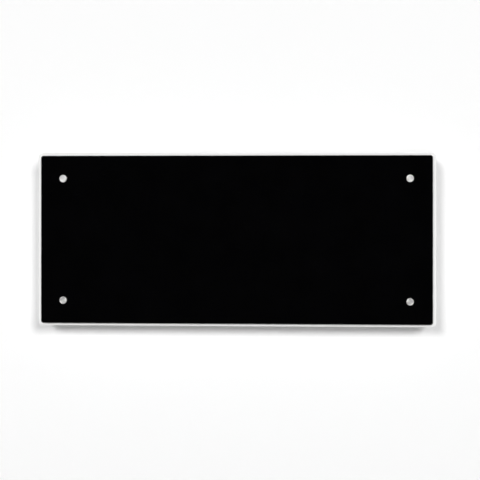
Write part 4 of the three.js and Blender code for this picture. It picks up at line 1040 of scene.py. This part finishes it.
class HEATER_OT_bracket(Operator):
    """Fold the wall bracket, mould the two latches and turn their rivets"""

    bl_idname = "panel_heater.bracket"
    bl_label = "Wall bracket"

    def execute(self, context):
        casing = context.scene.panel_heater_casing
        folded = softened("wall_bracket", "folded_bracket", radius=0.7 * MM, shortest=5.0 * MM)
        white = powder_coat("bracket powder coat", tuple(casing.paint))
        put_on_piece(folded, white, "bracket", "white_paint", "wall_bracket")
        nylon = moulded_plastic("black nylon", (0.022, 0.022, 0.024), 0.5, 0.03)
        zinc = plated_steel("zinc rivets", ZINC, 0.32)
        for side in SIDES:
            node = "latch_" + side
            moulded = softened(node, "moulded_" + node, radius=0.6 * MM, shortest=1.5 * MM, add=self.grip)
            put_on_piece(moulded, nylon, node, "black_plastic", node)
            self.rivet(side, zinc)
        return {"FINISHED"}

    def grip(self, bm):
        """Ribs across a latch's thumb tab."""
        top = max(vertex.co.z for vertex in bm.verts)
        tab = [vertex.co for vertex in bm.verts if vertex.co.z > top - MM]
        low, high = (Vector(pick(point[i] for point in tab) for i in range(3)) for pick in (min, max))
        ribs, width, proud, pitch, margin = 4, 1.0 * MM, 0.4 * MM, 2.2 * MM, 1.0 * MM
        rib = slot_outline(high.x - low.x - 2 * margin, width, steps=4)
        for i in range(1, ribs + 1):
            outline = shifted(rib, (low.x + high.x) / 2, top - pitch * i)
            add_prism(bm, outline, "Y", high.y - proud, high.y + proud)

    def rivet(self, side, zinc):
        """A shouldered rivet with a domed head and a dimple."""
        node = "latch_rivet_" + side
        low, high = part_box(node)
        middle = (low + high) / 2
        front, back = low.y, high.y
        head, seat, dome_height = (high.x - low.x) / 2, front + 1.4 * MM, 1.1 * MM
        dimple = [(0.0, front + 0.5 * MM), (0.8 * MM, front + 0.4 * MM), (1.3 * MM, front)]
        turns = (0.55, 0.8, 1.05, 1.3, 1.57)
        dome = [(head * math.sin(a), front + dome_height * (1 - math.cos(a))) for a in turns]
        shank = shank_section(2.5 * MM, seat, back, 0.3 * MM, 0.3 * MM)
        section = [*dimple, *dome, (head, seat), *shank]
        rivet = turned("rivet_" + side, section, 48, (middle.x, 0.0, middle.z))
        put_on_piece(rivet, zinc, "bracket", "zinc_steel", node)


class HEATER_OT_springs(Operator):
    """Wind the two latch springs with closed ends"""

    bl_idname = "panel_heater.springs"
    bl_label = "Latch springs"

    def execute(self, context):
        springs = context.scene.panel_heater_springs
        steel = plated_steel("drawn wire", tuple(springs.steel), 0.3)
        for side in SIDES:
            node = "latch_spring_" + side
            low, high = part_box(node)
            bm = bmesh.new()
            rings = sweep(bm, self.wire(springs, low, high), loop=False)
            bm.faces.new(rings[0])
            bm.faces.new(rings[-1])
            coil = object_from(bm, "coil_spring_" + side, smooth_angle=60.0)
            put_on_piece(coil, steel, "bracket", "spring_steel", node)
            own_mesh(coil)
        return {"FINISHED"}

    def wire(self, springs, low, high):
        """Rings along a helix whose first and last turns lie nearly flat."""
        wire = springs.wire / 2
        radius = (high.x - low.x) / 2 - wire
        middle = (low + high) / 2
        rise = high.z - low.z - 2 * wire
        steps_a_turn, even = 28, 0.25
        path = []
        for t in fractions(int(springs.turns * steps_a_turn)):
            ease = t - math.sin(2 * math.pi * t) / (2 * math.pi)
            angle = 2 * math.pi * springs.turns * t
            height = low.z + wire + rise * (even * t + (1 - even) * ease)
            point = (middle.x + radius * math.cos(angle), middle.y + radius * math.sin(angle), height)
            path.append(Vector(point))
        section = circle_outline(wire, steps=10)
        rings = []
        for point, before, after in zip(path, path[:1] + path, path[1:] + path[-1:]):
            along = (after - before).normalized()
            outward = Vector((point.x - middle.x, point.y - middle.y, 0.0)).normalized()
            across = along.cross(outward).normalized()
            rings.append([point + outward * a + across * b for a, b in section])
        return rings


# ---------------------------- Heating element, controls and electrics ----------------------------


class HEATER_OT_element(Operator):
    """Dress the heating element, its insulation, tray, cut-out and wiring"""

    bl_idname = "panel_heater.element"
    bl_label = "Heating element"

    def execute(self, context):
        put_on("element_sheet", mica_sheet("mica", (0.44, 0.37, 0.26)))
        put_on("heating_track", rolled_sheet("track foil", (0.42, 0.4, 0.37), 0.02))
        put_on("insulation_mat", fibre_mat("mineral fibre", (0.78, 0.76, 0.7)))
        put_on("insulation_tray", rolled_sheet("aluminium tray", (0.72, 0.73, 0.74), 0.02))
        put_on("thermal_cutout", moulded_plastic("phenolic", (0.03, 0.026, 0.022), 0.4))
        put_on("wiring_loom", soft_silicone("silicone sleeve", (0.6, 0.56, 0.5)))
        put_on("control_lead", moulded_plastic("lead sheath", (0.02, 0.02, 0.022), 0.55, 0.01))
        return {"FINISHED"}


class HEATER_OT_controls(Operator):
    """Mould the bezel and the buttons with their marks, and dress the lens, box and boards"""

    bl_idname = "panel_heater.controls"
    bl_label = "Controls"

    def execute(self, context):
        controls = context.scene.panel_heater_controls
        black = moulded_plastic("black bezel", tuple(controls.bezel), 0.38, 0.012)
        below_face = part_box("control_bezel")[1].z - 0.1 * MM
        bezel = softened("control_bezel", "moulded_bezel", radius=0.3 * MM, above=below_face)
        put_on_piece(bezel, black, "heater", "black_plastic", "control_bezel")
        put_on("control_box", black)
        put_on("display_lens", smoked_lens("smoked lens", (0.006, 0.006, 0.008)))
        put_on("display_module", moulded_plastic("display body", (0.02, 0.02, 0.022), 0.45))
        put_on("control_board", solder_mask("control board lacquer", BOARD_GREEN))
        put_on("radio_module", rolled_sheet("radio shield", (0.7, 0.7, 0.68), 0.05))
        white = moulded_plastic("white keycap", tuple(controls.keycap), 0.4, 0.01)
        ink = moulded_plastic("grey mark", (0.09, 0.09, 0.1), 0.5, 0.004)
        for use in BUTTONS:
            self.keycap(use, controls, white, ink)
        return {"FINISHED"}

    def keycap(self, use, controls, white, ink):
        """A keycap with a dished top, its collar and stem, and a mark in ink on it."""
        node = "button_" + use
        low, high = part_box(node)
        middle = (low + high) / 2
        place = (middle.x, middle.y, 0.0)
        top, edge = high.z, controls.keycap_edge
        cap, stem = controls.keycap_diameter / 2, controls.stem_diameter / 2
        collar = (high.x - low.x) / 2
        shoulder = top - controls.keycap_height
        under = shoulder - 1.0 * MM
        section = hollow(cap - 2 * edge, top, -edge)
        section += bend_points((cap - edge, top - edge), edge, 90, 0, steps=5)
        section += [(cap, shoulder), (collar, shoulder), (collar, under), (stem, under)]
        section += [(stem, low.z), (0.0, low.z)]
        key = turned("keycap_" + use, section, 48, place, "Z")
        put_on_piece(key, white, node, "white_plastic", node)
        mark = self.mark(use, cap * 0.42, cap * 0.07, top, edge)
        put_on_piece(object_from(mark, "mark_" + use, place), ink, node, "black_plastic")

    def mark(self, use, arm, slim, top, edge):
        """A button's mark, set into the hollow of the keycap; where two bars cross, one lies lower."""
        floor, proud, crossing = top - edge, top - 0.35 * edge, top - 0.4 * edge
        bm = bmesh.new()
        if use == "power":
            add_prism(bm, open_ring(arm, 0.8, math.pi / 5, steps=40), "Z", floor, proud)
            add_prism(bm, bar_outline(slim, 0.5 * arm, 0.7 * arm), "Z", floor, proud)
        else:
            add_prism(bm, bar_outline(arm, slim), "Z", floor, proud)
        if use == "plus":
            add_prism(bm, bar_outline(slim, arm), "Z", floor, crossing)
        return bm


class HEATER_OT_switch(Operator):
    """Mould the mains switch and print its two marks on the rocker"""

    bl_idname = "panel_heater.switch"
    bl_label = "Mains switch"

    def execute(self, context):
        black = moulded_plastic("switch body", (0.018, 0.018, 0.02), 0.42, 0.015)
        housing = softened("switch_housing", "moulded_switch", radius=0.3 * MM, shortest=2.0 * MM)
        put_on_piece(housing, black, "heater", "black_plastic", "switch_housing")
        put_on("switch_rocker", moulded_plastic("rocker", (0.024, 0.024, 0.026), 0.3, 0.006))
        paint = moulded_plastic("white mark", (0.75, 0.75, 0.73), 0.5, 0.004)
        size, line, under, over = 1.6 * MM, 0.25 * MM, -0.04 * MM, 0.05 * MM
        bar = bmesh.new()
        add_prism(bar, bar_outline(line, size), "Z", under, over)
        section = ((size, under), (size, over), (size - 2 * line, over), (size - 2 * line, under))
        ring = bmesh.new()
        sweep(ring, [[(a, b, t) for a, b in circle_outline(r, steps=40)] for r, t in section], loop=True)
        for name, mark, up in (("on", bar, 1), ("off", ring, -1)):
            mark.transform(self.wing(up))
            put_on_piece(object_from(mark, "mark_" + name), paint, "rocker", "white_plastic")
        return {"FINISHED"}

    def wing(self, up):
        """Where a mark lies: amid the rocker's upper or lower wing, facing out as the wing does."""
        middle = middle_of("switch_rocker")
        facing_out = 0.9
        faces = [
            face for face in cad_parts["switch_rocker"].data.polygons
            if face.normal.x > facing_out and (face.center.z - middle.z) * up > 0
        ]
        area = sum(face.area for face in faces)
        centre = sum((face.center * face.area for face in faces), Vector()) / area
        outward = sum((face.normal * face.area for face in faces), Vector()).normalized()
        across = Vector((0.0, 1.0, 0.0))
        turn = Matrix((across, outward.cross(across), outward)).transposed()
        return Matrix.Translation(centre) @ turn.to_4x4()


class HEATER_OT_electrics(Operator):
    """Dress the power board with its carrier, relay and terminals, the room sensor and the cord gland"""

    bl_idname = "panel_heater.electrics"
    bl_label = "Electrics"

    def execute(self, context):
        put_on("board_carrier", moulded_plastic("white carrier", (0.72, 0.72, 0.7), 0.5))
        put_on("power_board", solder_mask("power board lacquer", BOARD_GREEN))
        put_on("relay", moulded_plastic("relay case", (0.015, 0.016, 0.02), 0.35, 0.01))
        put_on("terminal_block", moulded_plastic("terminal block", (0.74, 0.74, 0.71), 0.45))
        put_on("sensor_holder", moulded_plastic("sensor bush", (0.76, 0.76, 0.74), 0.45))
        put_on("room_sensor", turned_metal("sensor sheath", (0.7, 0.7, 0.68), "Z"))
        gland = moulded_plastic("black polyamide", (0.02, 0.02, 0.022), 0.48, 0.03)
        put_on("cord_gland", gland)
        put_on("gland_nut", gland)
        return {"FINISHED"}


# ---------------------------- Panel, registration and the run ----------------------------

STEPS = (
    HEATER_OT_stage,
    HEATER_OT_glass,
    HEATER_OT_studs,
    HEATER_OT_casing,
    HEATER_OT_bracket,
    HEATER_OT_springs,
    HEATER_OT_element,
    HEATER_OT_controls,
    HEATER_OT_switch,
    HEATER_OT_electrics,
)
SETTINGS = {
    "panel_heater_stage": StageSettings,
    "panel_heater_glass": GlassSettings,
    "panel_heater_studs": StudSettings,
    "panel_heater_casing": CasingSettings,
    "panel_heater_springs": SpringSettings,
    "panel_heater_controls": ControlSettings,
}


class HEATER_PT_panel(Panel):
    """Lists the pieces of the panel heater"""

    bl_idname = "HEATER_PT_panel"
    bl_label = "Panel Heater"
    bl_space_type = "VIEW_3D"
    bl_region_type = "UI"
    bl_category = "Panel Heater"

    def draw(self, context):
        column = self.layout.column(align=True)
        for step in STEPS:
            column.operator(step.bl_idname)
        for name, group in SETTINGS.items():
            box = self.layout.box()
            box.label(text=group.__doc__)
            for setting in group.__annotations__:
                box.prop(getattr(context.scene, name), setting)


def register():
    """Registers the settings, the operators and the panel."""
    for cls in (*SETTINGS.values(), *STEPS, HEATER_PT_panel):
        bpy.utils.register_class(cls)
    for name, group in SETTINGS.items():
        setattr(bpy.types.Scene, name, PointerProperty(type=group))


def unregister():
    """Removes everything that register added."""
    for name in SETTINGS:
        delattr(bpy.types.Scene, name)
    for cls in (HEATER_PT_panel, *reversed(STEPS), *reversed(tuple(SETTINGS.values()))):
        bpy.utils.unregister_class(cls)


def main():
    """Registers the add-on and makes every piece in order."""
    register()
    for step in STEPS:
        operator = getattr(bpy.ops.panel_heater, step.bl_idname.split(".")[1])
        if operator() != {"FINISHED"}:
            raise RuntimeError(step.bl_label + " was not made")


if __name__ == "__main__":
    main()
